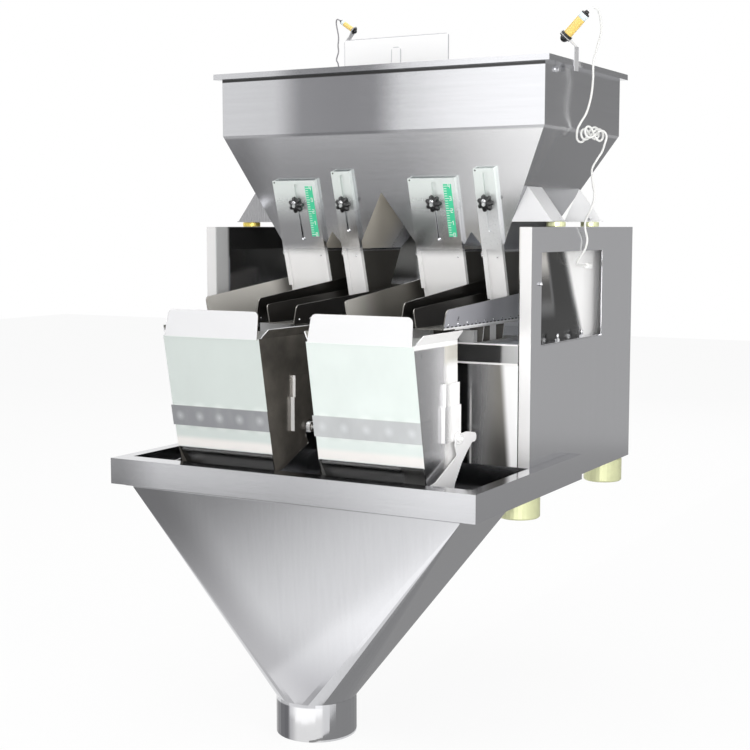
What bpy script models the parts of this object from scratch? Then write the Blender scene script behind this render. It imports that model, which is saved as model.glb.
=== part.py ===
"""Two-head linear weigher: hopper with four spouts, vibrating pans, two weigh buckets, discharge funnel.

Every size is in metres. The machine datum is the middle of the cabinet's top front edge: X runs across,
Y runs from the front of the cabinet to its back, Z is height above the cabinet's top. An empty carries
the datum, so that the world origin is the middle of the four feet, on the platform they stand on.
"""

from collections import namedtuple
from math import atan, atan2, cos, hypot, pi, radians, sin

import bmesh
import bpy
from mathutils import Matrix, Vector

# ---------------------------------------------------------------------------------------------------
# Driving dimensions
# ---------------------------------------------------------------------------------------------------
GAP = 0.0003                      # air left between pieces that touch
SHEET = 0.002                     # stainless sheet

CABINET_HALF = 0.3567             # half of the width over the cheeks
CABINET_DEPTH = 0.540
CABINET_HEIGHT = 0.487
CHEEK_THICK = 0.0242              # shell and liner together
LINER = 0.0015
FOOT_HEIGHT = 0.050
FOOT_RADIUS = 0.040
FOOT_X = 0.316
FOOT_Y = (0.047, 0.493)

WINDOW_Y = (0.047, 0.361)
WINDOW_Z = (-0.217, -0.046)

DECK_Z = -0.219                   # top of the deck that carries the vibrators
LIP_Z = (-0.250, -0.212)          # the deck's front lip

# Hopper: plan of the rim, fold lines and slopes (run per unit of drop)
HOPPER_SHEET = 0.0025
HOPPER_HALF = 0.3543
HOPPER_Y = (0.0571, 0.4516)
HOPPER_TOP = 0.3084
HOPPER_FOLD = 0.1845
RIM_WIDTH = 0.0130
RIM_HEIGHT = 0.0110
RIM_REAR = HOPPER_Y[1] + 0.0104   # the rim's rear edge is a little narrower
SIDE_SLOPE = 0.485
FRONT_SLOPE = 0.290
REAR_SLOPE = 0.660
DUCT_REAR_SLOPE = 0.570
LEG_Z = -0.043                    # where the sloping legs become upright ducts
DUCT_Z = -0.150                   # mouth of the ducts, inside the pans
DUCT_FRONT_Z = -0.108             # the ducts' front walls end here, behind the gates
BIG_NOTCH = (-0.002, 0.0673, 0.630)            # apex x, apex z, half slope
SMALL_NOTCHES = ((-0.1275, -0.0093, 0.746), (0.1830, -0.0093, 0.746))

# The two heads and their wide and narrow lanes, whose places across are measured from their head's middle
HEADS = (("a", -0.155), ("b", 0.155))
Lane = namedtuple(
    "Lane",
    "pan_x pan_half front_top rear_top gate_left gate_right cover_top slot_x slot_top slot_bottom strip_z",
)
LANES = (
    Lane(-0.0445, 0.0540, -0.133, -0.0914, -0.090, 0.010, 0.092, -0.035, 0.0857, -0.0266, -0.120),
    Lane(0.0675, 0.0275, -0.144, -0.1200, 0.051, 0.093, 0.108, 0.0745, 0.1016, -0.0100, -0.138),
)

PAN_FLOOR = -0.180
PAN_Y = (-0.137, 0.300)
PAN_FLARE = 0.18
PAN_SHEET = 0.002
PAN_CORNER = 0.008

# Gates lie on the hopper's front wall, in a frame turned to its slope
GATE_TILT = atan(FRONT_SLOPE)
GATE_LIFT = 0.010                 # height of the cover's face over the wall
GATE_SHEET = 0.002
STRIP_WIDTH = 0.009
PLATE_THICK = 0.003
PLATE_LIFT = 0.0030
PLATE_Z = -0.140                   # lower edge of the gates in the middle of their travel
KNOB_Z = 0.047
KNOB_LOBES = 7
KNOB_RADIUS = 0.017
STUD_RADIUS = 0.0035
# Weigh buckets
BUCKET_HALF = 0.106
BUCKET_SHEET = 0.002
BUCKET_TOP = -0.198
BUCKET_FRONT = ((-0.270, -0.198), (-0.229, -0.410), (-0.200, -0.452))
BUCKET_REAR = ((-0.104, -0.198), (-0.104, -0.385), (-0.140, -0.452))
BAND_Z = (-0.368, -0.330)
PIVOT = (-0.118, -0.372)          # the flap's axis, across the bucket
PIN_RADIUS = 0.005
SIDE_BOX = 0.0075
LEAF_X = 0.1145                   # inner face of the flap's cheek leaves
LEAF_SHEET = 0.002
LEVER_BAR = (-0.053, -0.377)
LEVER_RADIUS = 0.004

CRANK_Z = -0.367
CRANK_ARM = 0.0325
CRANK_ROLLER = 0.008

# Discharge tray and funnel
TRAY_HALF = 0.382
TRAY_FRONT = -0.281
TRAY_BACK = 0.199
TRAY_Z = (-0.4846, -0.4355)
TRAY_RIM = 0.025
FUNNEL_HALF = 0.344
FUNNEL_Y = (-0.262, -0.035)
FUNNEL_TOP = -0.4852
FUNNEL_FOLD = -0.4915
COLLAR_Y = -0.160
COLLAR_RADIUS = 0.075
COLLAR_Z = (-0.9355, -0.866)
ARC_STEPS = 9                     # facets in a quarter of the collar

# Level sensors
RIGHT_SENSOR = ((0.3470, 0.173, 0.3542), 0.0090, 0.061)
LEFT_SENSOR = ((-0.2815, 0.4665, 0.4402), 0.0056, 0.043)
CABLE_RIGHT = 0.0042
CABLE_LEFT = 0.0032

CLIP = (0.3435, 0.3085, -0.0762)
GLAND = (-0.300, -0.060)

# ---------------------------------------------------------------------------------------------------
# Scene helpers
# ---------------------------------------------------------------------------------------------------
for leftover in list(bpy.data.objects):
    bpy.data.objects.remove(leftover)

DATUM = bpy.data.objects.new("machine_datum", None)
DATUM.location = (0.0, -CABINET_DEPTH / 2, CABINET_HEIGHT + FOOT_HEIGHT)
bpy.context.scene.collection.objects.link(DATUM)


def make_material(name, colour, roughness, metallic):
    material = bpy.data.materials.new(name)
    material.use_nodes = True
    shader = material.node_tree.nodes["Principled BSDF"]
    shader.inputs["Base Color"].default_value = (*colour, 1.0)
    shader.inputs["Roughness"].default_value = roughness
    shader.inputs["Metallic"].default_value = metallic
    return material


STEEL = make_material("stainless_brushed", (0.62, 0.61, 0.59), 0.30, 1.0)
BRIGHT = make_material("stainless_bright", (0.72, 0.72, 0.71), 0.16, 1.0)
CASTING = make_material("drive_casting", (0.46, 0.46, 0.45), 0.45, 0.8)
ZINC = make_material("zinc_yellow", (0.76, 0.72, 0.38), 0.30, 0.9)
BLACK = make_material("moulded_black", (0.020, 0.020, 0.022), 0.42, 0.0)
AMBER = make_material("sensor_body", (0.90, 0.60, 0.14), 0.35, 0.0)
SHEATH = make_material("cable_sheath", (0.86, 0.86, 0.85), 0.50, 0.0)
GREY_SHEATH = make_material("cable_sheath_grey", (0.36, 0.35, 0.36), 0.50, 0.0)


def add_object(name, mesh, material, parent=None):
    """Link a mesh as a named piece of the machine, with round faces smooth and folds sharp."""
    mesh.materials.clear()
    mesh.materials.append(material)
    mesh.shade_smooth()
    mesh.set_sharp_from_angle(angle=radians(32))
    piece = bpy.data.objects.new(name, mesh)
    piece.parent = parent or DATUM
    bpy.context.scene.collection.objects.link(piece)
    return piece


def to_mesh(name, shape):
    bmesh.ops.recalc_face_normals(shape, faces=shape.faces)
    mesh = bpy.data.meshes.new(name)
    shape.to_mesh(mesh)
    shape.free()
    return mesh


def combine(base, tools, operation):
    """Boolean of a mesh with a list of meshes; returns the new mesh."""
    for tool in tools:
        carrier = bpy.data.objects.new("carrier", base)
        cutter = bpy.data.objects.new("cutter", tool)
        bpy.context.scene.collection.objects.link(carrier)
        bpy.context.scene.collection.objects.link(cutter)
        modifier = carrier.modifiers.new("combine", "BOOLEAN")
        modifier.object = cutter
        modifier.operation = operation
        modifier.solver = "EXACT"
        graph = bpy.context.evaluated_depsgraph_get()
        base = bpy.data.meshes.new_from_object(carrier.evaluated_get(graph))
        bpy.data.objects.remove(carrier)
        bpy.data.objects.remove(cutter)
    return base


def join(base, *tools):
    return combine(base, tools, "UNION")


def cut(base, *tools):
    return combine(base, tools, "DIFFERENCE")


def overlap(base, tool):
    return combine(base, [tool], "INTERSECT")


# ---------------------------------------------------------------------------------------------------
# Forms
# ---------------------------------------------------------------------------------------------------
def prism(outline, axis, low, high):
    """Extrude a flat outline along an axis: (y, z) along X, (x, z) along Y or (x, y) along Z."""
    place = {
        "X": lambda p: (low, p[0], p[1]),
        "Y": lambda p: (p[0], low, p[1]),
        "Z": lambda p: (p[0], p[1], low),
    }[axis]
    shape = bmesh.new()
    face = shape.faces.new([shape.verts.new(place(point)) for point in outline])
    grown = bmesh.ops.extrude_face_region(shape, geom=[face])
    step = Vector([high - low if axis == letter else 0.0 for letter in "XYZ"])
    moved = [item for item in grown["geom"] if isinstance(item, bmesh.types.BMVert)]
    bmesh.ops.translate(shape, verts=moved, vec=step)
    return to_mesh("prism", shape)


def rectangle(low_a, high_a, low_b, high_b):
    return [(low_a, low_b), (high_a, low_b), (high_a, high_b), (low_a, high_b)]


def box(x, y, z):
    """A box from three (low, high) pairs."""
    return prism(rectangle(x[0], x[1], y[0], y[1]), "Z", z[0], z[1])


def arc(centre, radius, start, end, steps):
    """Points along an arc; the angles are in degrees."""
    angles = [radians(start + (end - start) * step / steps) for step in range(steps + 1)]
    return [(centre[0] + radius * cos(angle), centre[1] + radius * sin(angle)) for angle in angles]


def rounded_rectangle(low_a, high_a, low_b, high_b, radius, steps=4):
    corners = (
        ((high_a - radius, high_b - radius), 0),
        ((low_a + radius, high_b - radius), 90),
        ((low_a + radius, low_b + radius), 180),
        ((high_a - radius, low_b + radius), 270),
    )
    points = []
    for centre, start in corners:
        points += arc(centre, radius, start, start + 90, steps)
    return points


def folded(path, thickness):
    """Outline of a sheet folded along a path; the thickness lies on the path's left side."""
    path = [Vector(point) for point in path]
    normals = []
    for start, end in zip(path, path[1:]):
        along = (end - start).normalized()
        normals.append(Vector((-along.y, along.x)))
    inner = [path[0] + normals[0] * thickness]
    for index in range(1, len(path) - 1):
        before, after = normals[index - 1], normals[index]
        inner.append(path[index] + (before + after) * thickness / (1.0 + before.dot(after)))
    inner.append(path[-1] + normals[-1] * thickness)
    return [tuple(point) for point in path + inner[::-1]]


def loft(loops, closed=False):
    """Skin a list of equal loops of 3-D points; the ends are capped, or joined when closed."""
    shape = bmesh.new()
    rings = [[shape.verts.new(point) for point in loop] for loop in loops]
    count = len(rings[0])
    pairs = list(zip(rings, rings[1:]))
    if closed:
        pairs.append((rings[-1], rings[0]))
    for lower, upper in pairs:
        for index in range(count):
            following = (index + 1) % count
            shape.faces.new((lower[index], lower[following], upper[following], upper[index]))
    if not closed:
        shape.faces.new(rings[0][::-1])
        shape.faces.new(rings[-1])
    bmesh.ops.remove_doubles(shape, verts=shape.verts, dist=1e-6)
    return to_mesh("loft", shape)


def turned(profile, sides=24):
    """Turn a closed or open (radius, height) profile about Z; ends on the axis close themselves."""
    loops = []
    for radius, height in profile:
        ring = [2 * pi * side / sides for side in range(sides)]
        loops.append([(radius * cos(angle), radius * sin(angle), height) for angle in ring])
    return loft(loops)


def turned_ring(profile, sides=24):
    """Turn a closed (radius, height) profile that stays off the axis."""
    ring = [2 * pi * side / sides for side in range(sides)]
    loops = [[(r * cos(angle), r * sin(angle), h) for angle in ring] for r, h in profile]
    return loft(loops, closed=True)


def rod(start, end, radius, sides=16):
    """A round bar between two points."""
    start, end = Vector(start), Vector(end)
    mesh = turned([(radius, 0.0), (radius, (end - start).length)], sides)
    turn = (end - start).to_track_quat("Z", "Y").to_matrix().to_4x4()
    mesh.transform(Matrix.Translation(start) @ turn)
    return mesh


def mirrored(mesh):
    """A copy of a mesh mirrored across the middle of the machine."""
    copy = mesh.copy()
    copy.transform(Matrix.Scale(-1.0, 4, (1.0, 0.0, 0.0)))
    copy.flip_normals()
    return copy


def moved(mesh, offset):
    mesh.transform(Matrix.Translation(offset))
    return mesh


# ---------------------------------------------------------------------------------------------------
# Cabinet
# ---------------------------------------------------------------------------------------------------
def cheek_shell():
    """Folded outer tray of the right cheek, open toward the liner."""
    inside = CABINET_HALF - CHEEK_THICK + LINER + GAP
    block = box((inside, CABINET_HALF), (0.0, CABINET_DEPTH), (-CABINET_HEIGHT, 0.0))
    hollow = box(
        (inside - 0.01, CABINET_HALF - SHEET),
        (SHEET, CABINET_DEPTH - SHEET),
        (SHEET - CABINET_HEIGHT, -SHEET),
    )
    return cut(block, hollow)


def cheek_liner():
    """Flat inner plate that closes the right cheek."""
    inner = CABINET_HALF - CHEEK_THICK
    return box((inner, inner + LINER), (0.0, CABINET_DEPTH), (-CABINET_HEIGHT, 0.0))


def cable_clip():
    """Barrel that takes the end of the right cable, on a foot standing off the liner."""
    x, y, z = CLIP
    barrel = rod((x, y, z), (x, y + 0.017, z), 0.0055, 16)
    foot = box((CABINET_HALF - CHEEK_THICK + LINER / 2, x), (y + 0.004, y + 0.013), (z - 0.0035, z + 0.0035))
    return join(barrel, foot)


def build_cheeks():
    """The right window opens outward, onto its liner; the left one opens inward."""
    window = box((CABINET_HALF - CHEEK_THICK - 0.01, CABINET_HALF + 0.01), WINDOW_Y, WINDOW_Z)
    shell, liner = cheek_shell(), cheek_liner()
    add_object("cheek_shell_left", mirrored(shell), STEEL)
    add_object("cheek_liner_left", mirrored(cut(liner.copy(), window)), STEEL)
    add_object("cheek_shell_right", cut(shell, window), STEEL)
    add_object("cheek_liner_right", join(liner, cable_clip()), STEEL)


INNER_HALF = CABINET_HALF - CHEEK_THICK - GAP


def drive_half(pan_half):
    """Half width of the drive under a pan."""
    return pan_half - 0.0085


def all_lanes():
    """Every lane from left to right as (number, middle of its head, lane)."""
    lanes = [(head_x, lane) for _, head_x in HEADS for lane in LANES]
    return [(number, head_x, lane) for number, (head_x, lane) in enumerate(lanes, 1)]


DRIVE_Y = (0.030, 0.190)


def build_deck():
    """Deck with a raised front lip and a skirt; each drive hangs through an opening in it."""
    back = CABINET_DEPTH - SHEET - GAP
    path = [(back, DECK_Z), (0.008, DECK_Z), (0.008, LIP_Z[1]), (0.0, LIP_Z[1]), (0.0, LIP_Z[0])]
    deck = prism(folded(path, SHEET), "X", -INNER_HALF, INNER_HALF)
    bead = prism(rectangle(-0.0015, SHEET, LIP_Z[0], LIP_Z[0] + 0.006), "X", -INNER_HALF, INNER_HALF)
    deck = join(deck, bead)
    for _, head_x, lane in all_lanes():
        centre, half = head_x + lane.pan_x, drive_half(lane.pan_half) + 0.001
        opening = box((centre - half, centre + half), DRIVE_Y, (DECK_Z - 0.01, DECK_Z + 0.01))
        deck = cut(deck, opening)
    add_object("deck", deck, STEEL)


def build_front_panel():
    """Front panel under the deck, folded back on four sides, with two bearing bosses."""
    top = LIP_Z[0] - GAP
    bottom = SHEET + GAP - CABINET_HEIGHT
    face = 0.0005
    panel = box((-INNER_HALF, INNER_HALF), (face, face + 0.018), (bottom, top))
    inside = box(
        (SHEET - INNER_HALF, INNER_HALF - SHEET),
        (face + SHEET, 0.10),
        (bottom + SHEET, top - SHEET),
    )
    panel = cut(panel, inside)
    for _, head_x in HEADS:
        boss = rod((head_x, -0.006, CRANK_Z), (head_x, face + SHEET / 2, CRANK_Z), 0.019, 24)
        panel = join(panel, boss)
    add_object("front_panel", panel, STEEL)


def gland(x, z):
    """Cable gland on the rear panel: hexagon and tapered nut, pointing backward."""
    profile = [(0.0092, 0.0), (0.0092, 0.005), (0.0075, 0.005), (0.0075, 0.011), (0.0052, 0.015)]
    body = turned(profile, 12)
    body.transform(Matrix.Rotation(radians(-90), 4, "X"))
    start = CABINET_DEPTH - SHEET / 2
    return moved(body, (x, start, z))


def build_rear_and_floor():
    """Floor and rear panel folded from one sheet, with the rear cable's gland."""
    path = [
        (SHEET + GAP, -CABINET_HEIGHT),
        (CABINET_DEPTH, -CABINET_HEIGHT),
        (CABINET_DEPTH, -0.002),
        (CABINET_DEPTH - 0.020, -0.002),
    ]
    wrap = prism(folded(path, SHEET), "X", -INNER_HALF, INNER_HALF)
    add_object("rear_and_floor", join(wrap, gland(*GLAND)), STEEL)


def build_feet():
    chamfer = 0.0025
    profile = [
        (FOOT_RADIUS - chamfer, 0.0),
        (FOOT_RADIUS, chamfer),
        (FOOT_RADIUS, FOOT_HEIGHT - GAP - chamfer),
        (FOOT_RADIUS - chamfer, FOOT_HEIGHT - GAP),
    ]
    mesh = turned(profile, 32)
    for side, x in (("left", -FOOT_X), ("right", FOOT_X)):
        for end, y in zip(("front", "rear"), FOOT_Y):
            foot = add_object(f"foot_{end}_{side}", mesh.copy(), ZINC)
            foot.location = (x, y, -CABINET_HEIGHT - FOOT_HEIGHT)


# ---------------------------------------------------------------------------------------------------
# Hopper and what carries it
# ---------------------------------------------------------------------------------------------------
BRACKET_BASE = 0.010
BRACKETS_Y = (("front", 0.105, 0.170, 0.1435), ("rear", 0.298, 0.370, 0.320))
POST_X = 0.344


def side_x(z, inset=0.0):
    """Half width of the hopper's side wall at a height."""
    return HOPPER_HALF - inset * hypot(1.0, SIDE_SLOPE) - SIDE_SLOPE * (HOPPER_FOLD - z)


def front_y(z, inset=0.0):
    return HOPPER_Y[0] + inset * hypot(1.0, FRONT_SLOPE) + FRONT_SLOPE * (HOPPER_FOLD - z)


def rear_y(z, inset=0.0):
    return HOPPER_Y[1] - inset * hypot(1.0, REAR_SLOPE) - REAR_SLOPE * (HOPPER_FOLD - z)


def leg_outline(inset, top, bottom):
    """Front view of the hopper: sloping sides, three notches and the upright sides of four ducts."""
    points = [(-HOPPER_HALF + inset, top), (-side_x(HOPPER_FOLD, inset), HOPPER_FOLD)]
    points += [(-side_x(LEG_Z, inset), LEG_Z), (-side_x(LEG_Z, inset), bottom)]
    for apex_x, apex_z, slope in sorted((BIG_NOTCH, *SMALL_NOTCHES)):
        apex_z = apex_z + inset * hypot(1.0, slope) / slope
        half = slope * (apex_z - LEG_Z)
        points += [(apex_x - half, bottom), (apex_x - half, LEG_Z), (apex_x, apex_z)]
        points += [(apex_x + half, LEG_Z), (apex_x + half, bottom)]
    points += [(side_x(LEG_Z, inset), bottom), (side_x(LEG_Z, inset), LEG_Z)]
    points += [(side_x(HOPPER_FOLD, inset), HOPPER_FOLD), (HOPPER_HALF - inset, top)]
    return points


def slope_outline(inset, top, bottom):
    """Side view of the hopper: the front wall is straight down to the duct's mouth."""
    rear_leg = rear_y(LEG_Z, inset)
    return [
        (HOPPER_Y[0] + inset, top),
        (front_y(HOPPER_FOLD, inset), HOPPER_FOLD),
        (front_y(bottom, inset), bottom),
        (rear_leg - DUCT_REAR_SLOPE * (LEG_Z - bottom), bottom),
        (rear_leg, LEG_Z),
        (rear_y(HOPPER_FOLD, inset), HOPPER_FOLD),
        (HOPPER_Y[1] - inset, top),
    ]


def hopper_solid(inset, top, bottom):
    """The hopper's volume: its front view and its side view, each drawn right through the other."""
    front_view = prism(leg_outline(inset, top, bottom), "Y", 0.0, 0.6)
    side_view = prism(slope_outline(inset, top, bottom), "X", -0.5, 0.5)
    return overlap(front_view, side_view)


def build_hopper():
    """Folded hopper whose lower half splits into two legs and four ducts, under a box-section rim."""
    shell = hopper_solid(0.0, HOPPER_TOP, DUCT_Z)
    rim = box(
        (-HOPPER_HALF - RIM_WIDTH, HOPPER_HALF + RIM_WIDTH),
        (HOPPER_Y[0] - RIM_WIDTH, RIM_REAR),
        (HOPPER_TOP - RIM_HEIGHT, HOPPER_TOP),
    )
    shell = join(shell, rim)
    shell = cut(shell, hopper_solid(HOPPER_SHEET, HOPPER_TOP + 0.02, DUCT_Z - 0.02))
    opening = prism(
        [
            (front_y(DUCT_FRONT_Z) - 0.02, DUCT_FRONT_Z),
            (front_y(DUCT_FRONT_Z, HOPPER_SHEET) + 0.001, DUCT_FRONT_Z),
            (front_y(DUCT_Z, HOPPER_SHEET) + 0.001, DUCT_Z - 0.01),
            (front_y(DUCT_Z) - 0.02, DUCT_Z - 0.01),
        ],
        "X",
        -0.5,
        0.5,
    )
    add_object("hopper", cut(shell, opening), STEEL)


def bracket(low_y, high_y, boxed):
    """Foot plate that sits on a post, with a gusset leaning on the hopper's right slope.

    The front one is a folded box; the rear one is a single sheet at the back of its plate.
    """
    apex_z = 0.075
    base = BRACKET_BASE
    lean = GAP * hypot(1.0, SIDE_SLOPE)
    outer_x = 0.352
    apex = (side_x(apex_z) + lean, apex_z)
    heel = (side_x(base) + lean, base)
    outline = [heel, (outer_x, base), (apex[0] + 0.002, apex_z), apex]
    plate = box((side_x(base) + 0.004, outer_x + 0.0015), (low_y, high_y), (base, base + SHEET))
    if not boxed:
        return join(prism(outline, "Y", high_y - SHEET, high_y), plate)
    hollow = [
        (heel[0] - 0.02, base + SHEET),
        (outer_x - 0.0045, base + SHEET),
        (apex[0] - 0.001, apex_z - 0.006),
        (apex[0] - 0.03, apex_z - 0.006),
    ]
    gusset = prism(outline, "Y", low_y, high_y)
    gusset = cut(gusset, prism(hollow, "Y", low_y + SHEET, high_y - SHEET))
    return join(gusset, plate)


def build_brackets():
    profile = [
        (0.0172, 0.0),
        (0.0182, 0.001),
        (0.0182, BRACKET_BASE - 2 * GAP - 0.001),
        (0.0172, BRACKET_BASE - 2 * GAP),
    ]
    post = turned(profile, 24)
    for end, low_y, high_y, post_y in BRACKETS_Y:
        mesh = bracket(low_y, high_y, end == "front")
        add_object(f"hopper_bracket_{end}_left", mirrored(mesh), BRIGHT)
        add_object(f"hopper_bracket_{end}_right", mesh, BRIGHT)
        for side, x in (("left", -POST_X), ("right", POST_X)):
            piece = add_object(f"hopper_post_{end}_{side}", post.copy(), ZINC)
            piece.location = (x, post_y, GAP)


REAR_PLATE_Y = RIM_REAR + GAP


def build_rear_plate():
    """Upright plate on the rear rim with a narrow tab in front of it."""
    outline = rounded_rectangle(-0.304, -0.041, HOPPER_TOP - 0.030, 0.420, 0.006)
    plate = prism(outline, "Y", REAR_PLATE_Y, REAR_PLATE_Y + SHEET)
    tab = rounded_rectangle(-0.182, -0.158, HOPPER_TOP + GAP, 0.397, 0.008)
    tab = prism(tab, "Y", RIM_REAR - 0.0015, REAR_PLATE_Y + SHEET / 2)
    add_object("rear_plate", join(plate, tab), BRIGHT)


# ---------------------------------------------------------------------------------------------------
# Gates: in the gate frame X runs across, +Y into the hopper and +Z up its front wall
# ---------------------------------------------------------------------------------------------------
GATE_PLANE = Matrix.Translation((0.0, front_y(0.0), 0.0)) @ Matrix.Rotation(GATE_TILT, 4, "X")


def along_wall(z, lift=0.0):
    """Distance up the wall at which a point lifted off it has a given height."""
    return (z + lift * sin(GATE_TILT)) / cos(GATE_TILT)


def gate_guide(lane):
    """Channel on the wall: two flanges, a slotted cover and a strip down each side below it."""
    left, right = lane.gate_left, lane.gate_right
    face = GATE_SHEET - GATE_LIFT
    low, high = along_wall(lane.strip_z, GATE_LIFT), along_wall(lane.cover_top, GATE_LIFT)
    guide = box((left, right), (-GATE_LIFT, -GAP), (low, high))
    channel = box((left + GATE_SHEET, right - GATE_SHEET), (face, 0.01), (low - 0.01, high + 0.01))
    gap = box(
        (left + STRIP_WIDTH, right - STRIP_WIDTH),
        (-0.02, 0.01),
        (low - 0.01, along_wall(LEG_Z, GATE_LIFT)),
    )
    ends = (along_wall(lane.slot_bottom, GATE_LIFT), along_wall(lane.slot_top, GATE_LIFT))
    slot_half = STUD_RADIUS + 0.0015
    outline = rounded_rectangle(lane.slot_x - slot_half, lane.slot_x + slot_half, *ends, slot_half - 1e-5)
    return cut(guide, channel, gap, prism(outline, "Y", -0.02, 0.0))


def gate_plate(lane):
    """Sliding plate with its clamping stud, measured from the stud."""
    clearance = GATE_SHEET + 0.001
    low, high = along_wall(PLATE_Z, PLATE_LIFT), along_wall(lane.cover_top - 0.004, PLATE_LIFT)
    plate = box(
        (lane.gate_left + clearance - lane.slot_x, lane.gate_right - clearance - lane.slot_x),
        (-PLATE_LIFT - PLATE_THICK, -PLATE_LIFT),
        (low, high),
    )
    knob = along_wall(KNOB_Z, GATE_LIFT)
    stud = rod((0.0, -PLATE_LIFT - PLATE_THICK / 2, knob), (0.0, -0.031, knob), STUD_RADIUS, 16)
    return moved(join(plate, stud), (0.0, 0.0, -knob))


def lobe_loop(radius, depth, height, points_per_lobe=6):
    """A lobed ring about Y at a height off the wall."""
    count = KNOB_LOBES * points_per_lobe
    loop = []
    for index in range(count):
        angle = 2 * pi * index / count
        reach = radius - depth * (0.5 - 0.5 * cos(KNOB_LOBES * angle)) ** 1.5
        loop.append((reach * cos(angle), -height, reach * sin(angle)))
    return loop


def star_knob():
    """Seven-lobed clamping knob with a through bore for the stud."""
    bore = STUD_RADIUS + GAP
    seat = GATE_LIFT + 0.0005
    sections = [
        (bore, 0.0, seat),
        (0.0085, 0.0, seat),
        (0.0095, 0.0, seat + 0.004),
        (KNOB_RADIUS - 0.0015, 0.0045, seat + 0.0055),
        (KNOB_RADIUS, 0.0045, seat + 0.008),
        (KNOB_RADIUS - 0.0005, 0.0045, seat + 0.0125),
        (KNOB_RADIUS - 0.0045, 0.0035, seat + 0.0155),
        (0.0075, 0.0, seat + 0.0175),
        (bore, 0.0, seat + 0.0180),
    ]
    return loft([lobe_loop(*section) for section in sections], closed=True)


def build_gates():
    knob = star_knob()
    knob_height = along_wall(KNOB_Z, GATE_LIFT)
    for number, head_x, lane in all_lanes():
        guide = add_object(f"gate_guide_{number}", gate_guide(lane), STEEL)
        guide.matrix_local = Matrix.Translation((head_x, 0.0, 0.0)) @ GATE_PLANE
        slide = add_object(f"gate_{number}", gate_plate(lane), BRIGHT)
        stud = Matrix.Translation((head_x + lane.slot_x, 0.0, 0.0))
        slide.matrix_local = stud @ GATE_PLANE @ Matrix.Translation((0.0, 0.0, knob_height))
        add_object(f"gate_knob_{number}", knob.copy(), BLACK, parent=slide)


# ---------------------------------------------------------------------------------------------------
# Vibrating pans and their drives
# ---------------------------------------------------------------------------------------------------
DRIVE_Z = -0.300
SPRING_LEAN = 0.018
SPRINGS_Y = (0.058, 0.150)


def pan_mesh(half, front_top, rear_top):
    """Flared trough with a closed rear end; the drive's yoke and leaf springs are welded under it."""
    def flare(z, inset=0.0):
        return half - inset * hypot(1.0, PAN_FLARE) + PAN_FLARE * (z - PAN_FLOOR)

    def side_profile(top_shift, low, front, back):
        corner = (PAN_Y[0] + PAN_CORNER, front_top + top_shift - PAN_CORNER)
        return [
            (front, low),
            (back, low),
            (back, rear_top + top_shift),
            *arc(corner, PAN_CORNER, 90, 180, 4),
        ]

    def section(inset, low):
        top = -0.05
        return [
            (-flare(low, inset), low),
            (flare(low, inset), low),
            (flare(top, inset), top),
            (-flare(top, inset), top),
        ]

    outer = overlap(
        prism(section(0.0, PAN_FLOOR), "Y", -0.2, 0.4),
        prism(side_profile(0.0, PAN_FLOOR, PAN_Y[0], PAN_Y[1]), "X", -0.2, 0.2),
    )
    inner = prism(section(PAN_SHEET, PAN_FLOOR + PAN_SHEET), "Y", -0.2, PAN_Y[1] - PAN_SHEET)
    pan = cut(outer, inner)
    width = drive_half(half)
    yoke = box((-width, width), (-0.075, 0.205), (PAN_FLOOR - 0.004, PAN_FLOOR + PAN_SHEET / 2))
    pan = join(pan, yoke)
    for y in SPRINGS_Y:
        top_z, low_z = PAN_FLOOR - 0.003, DRIVE_Z + 0.030
        leaf = folded([(y, top_z), (y - SPRING_LEAN, low_z)], 0.003)
        pan = join(pan, prism(leaf, "X", 0.005 - width, width - 0.005))
    armature = box((0.007 - width, width - 0.007), (0.090, 0.118), (-0.215, PAN_FLOOR - 0.002))
    return join(pan, armature)


def drive_mesh(half):
    """Drive base: a flange on the deck, a tub through it, a coil block and the front stop tower."""
    width = drive_half(half)
    wall = 0.003
    flange_z = DECK_Z + GAP
    flange = box((-width - 0.008, width + 0.008), (0.012, 0.208), (flange_z, flange_z + 0.006))
    tub = box((-width, width), (DRIVE_Y[0] + GAP, DRIVE_Y[1] - GAP), (DRIVE_Z, flange_z + 0.003))
    tower = box((-width * 0.8, width * 0.8), (0.012, 0.027), (flange_z + 0.004, -0.190))
    hollow = box(
        (wall - width, width - wall),
        (DRIVE_Y[0] + wall, DRIVE_Y[1] - wall),
        (DRIVE_Z + 0.006, -0.1),
    )
    coil = box((0.009 - width, width - 0.009), (0.088, 0.120), (DRIVE_Z + 0.003, -0.222))
    return join(cut(join(flange, tub, tower), hollow), coil)


def build_pans():
    for number, head_x, lane in all_lanes():
        pan = add_object(f"pan_{number}", pan_mesh(lane.pan_half, lane.front_top, lane.rear_top), STEEL)
        pan.location = (head_x + lane.pan_x, 0.0, 0.0)
        drive = add_object(f"pan_drive_{number}", drive_mesh(lane.pan_half), CASTING)
        drive.location = (head_x + lane.pan_x, 0.0, 0.0)


# ---------------------------------------------------------------------------------------------------
# Weigh buckets
# ---------------------------------------------------------------------------------------------------
def front_wall_y(z):
    """The bucket's front wall above its fold."""
    (top_y, top_z), (fold_y, fold_z) = BUCKET_FRONT[:2]
    return top_y + (fold_y - top_y) * (z - top_z) / (fold_z - top_z)


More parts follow.
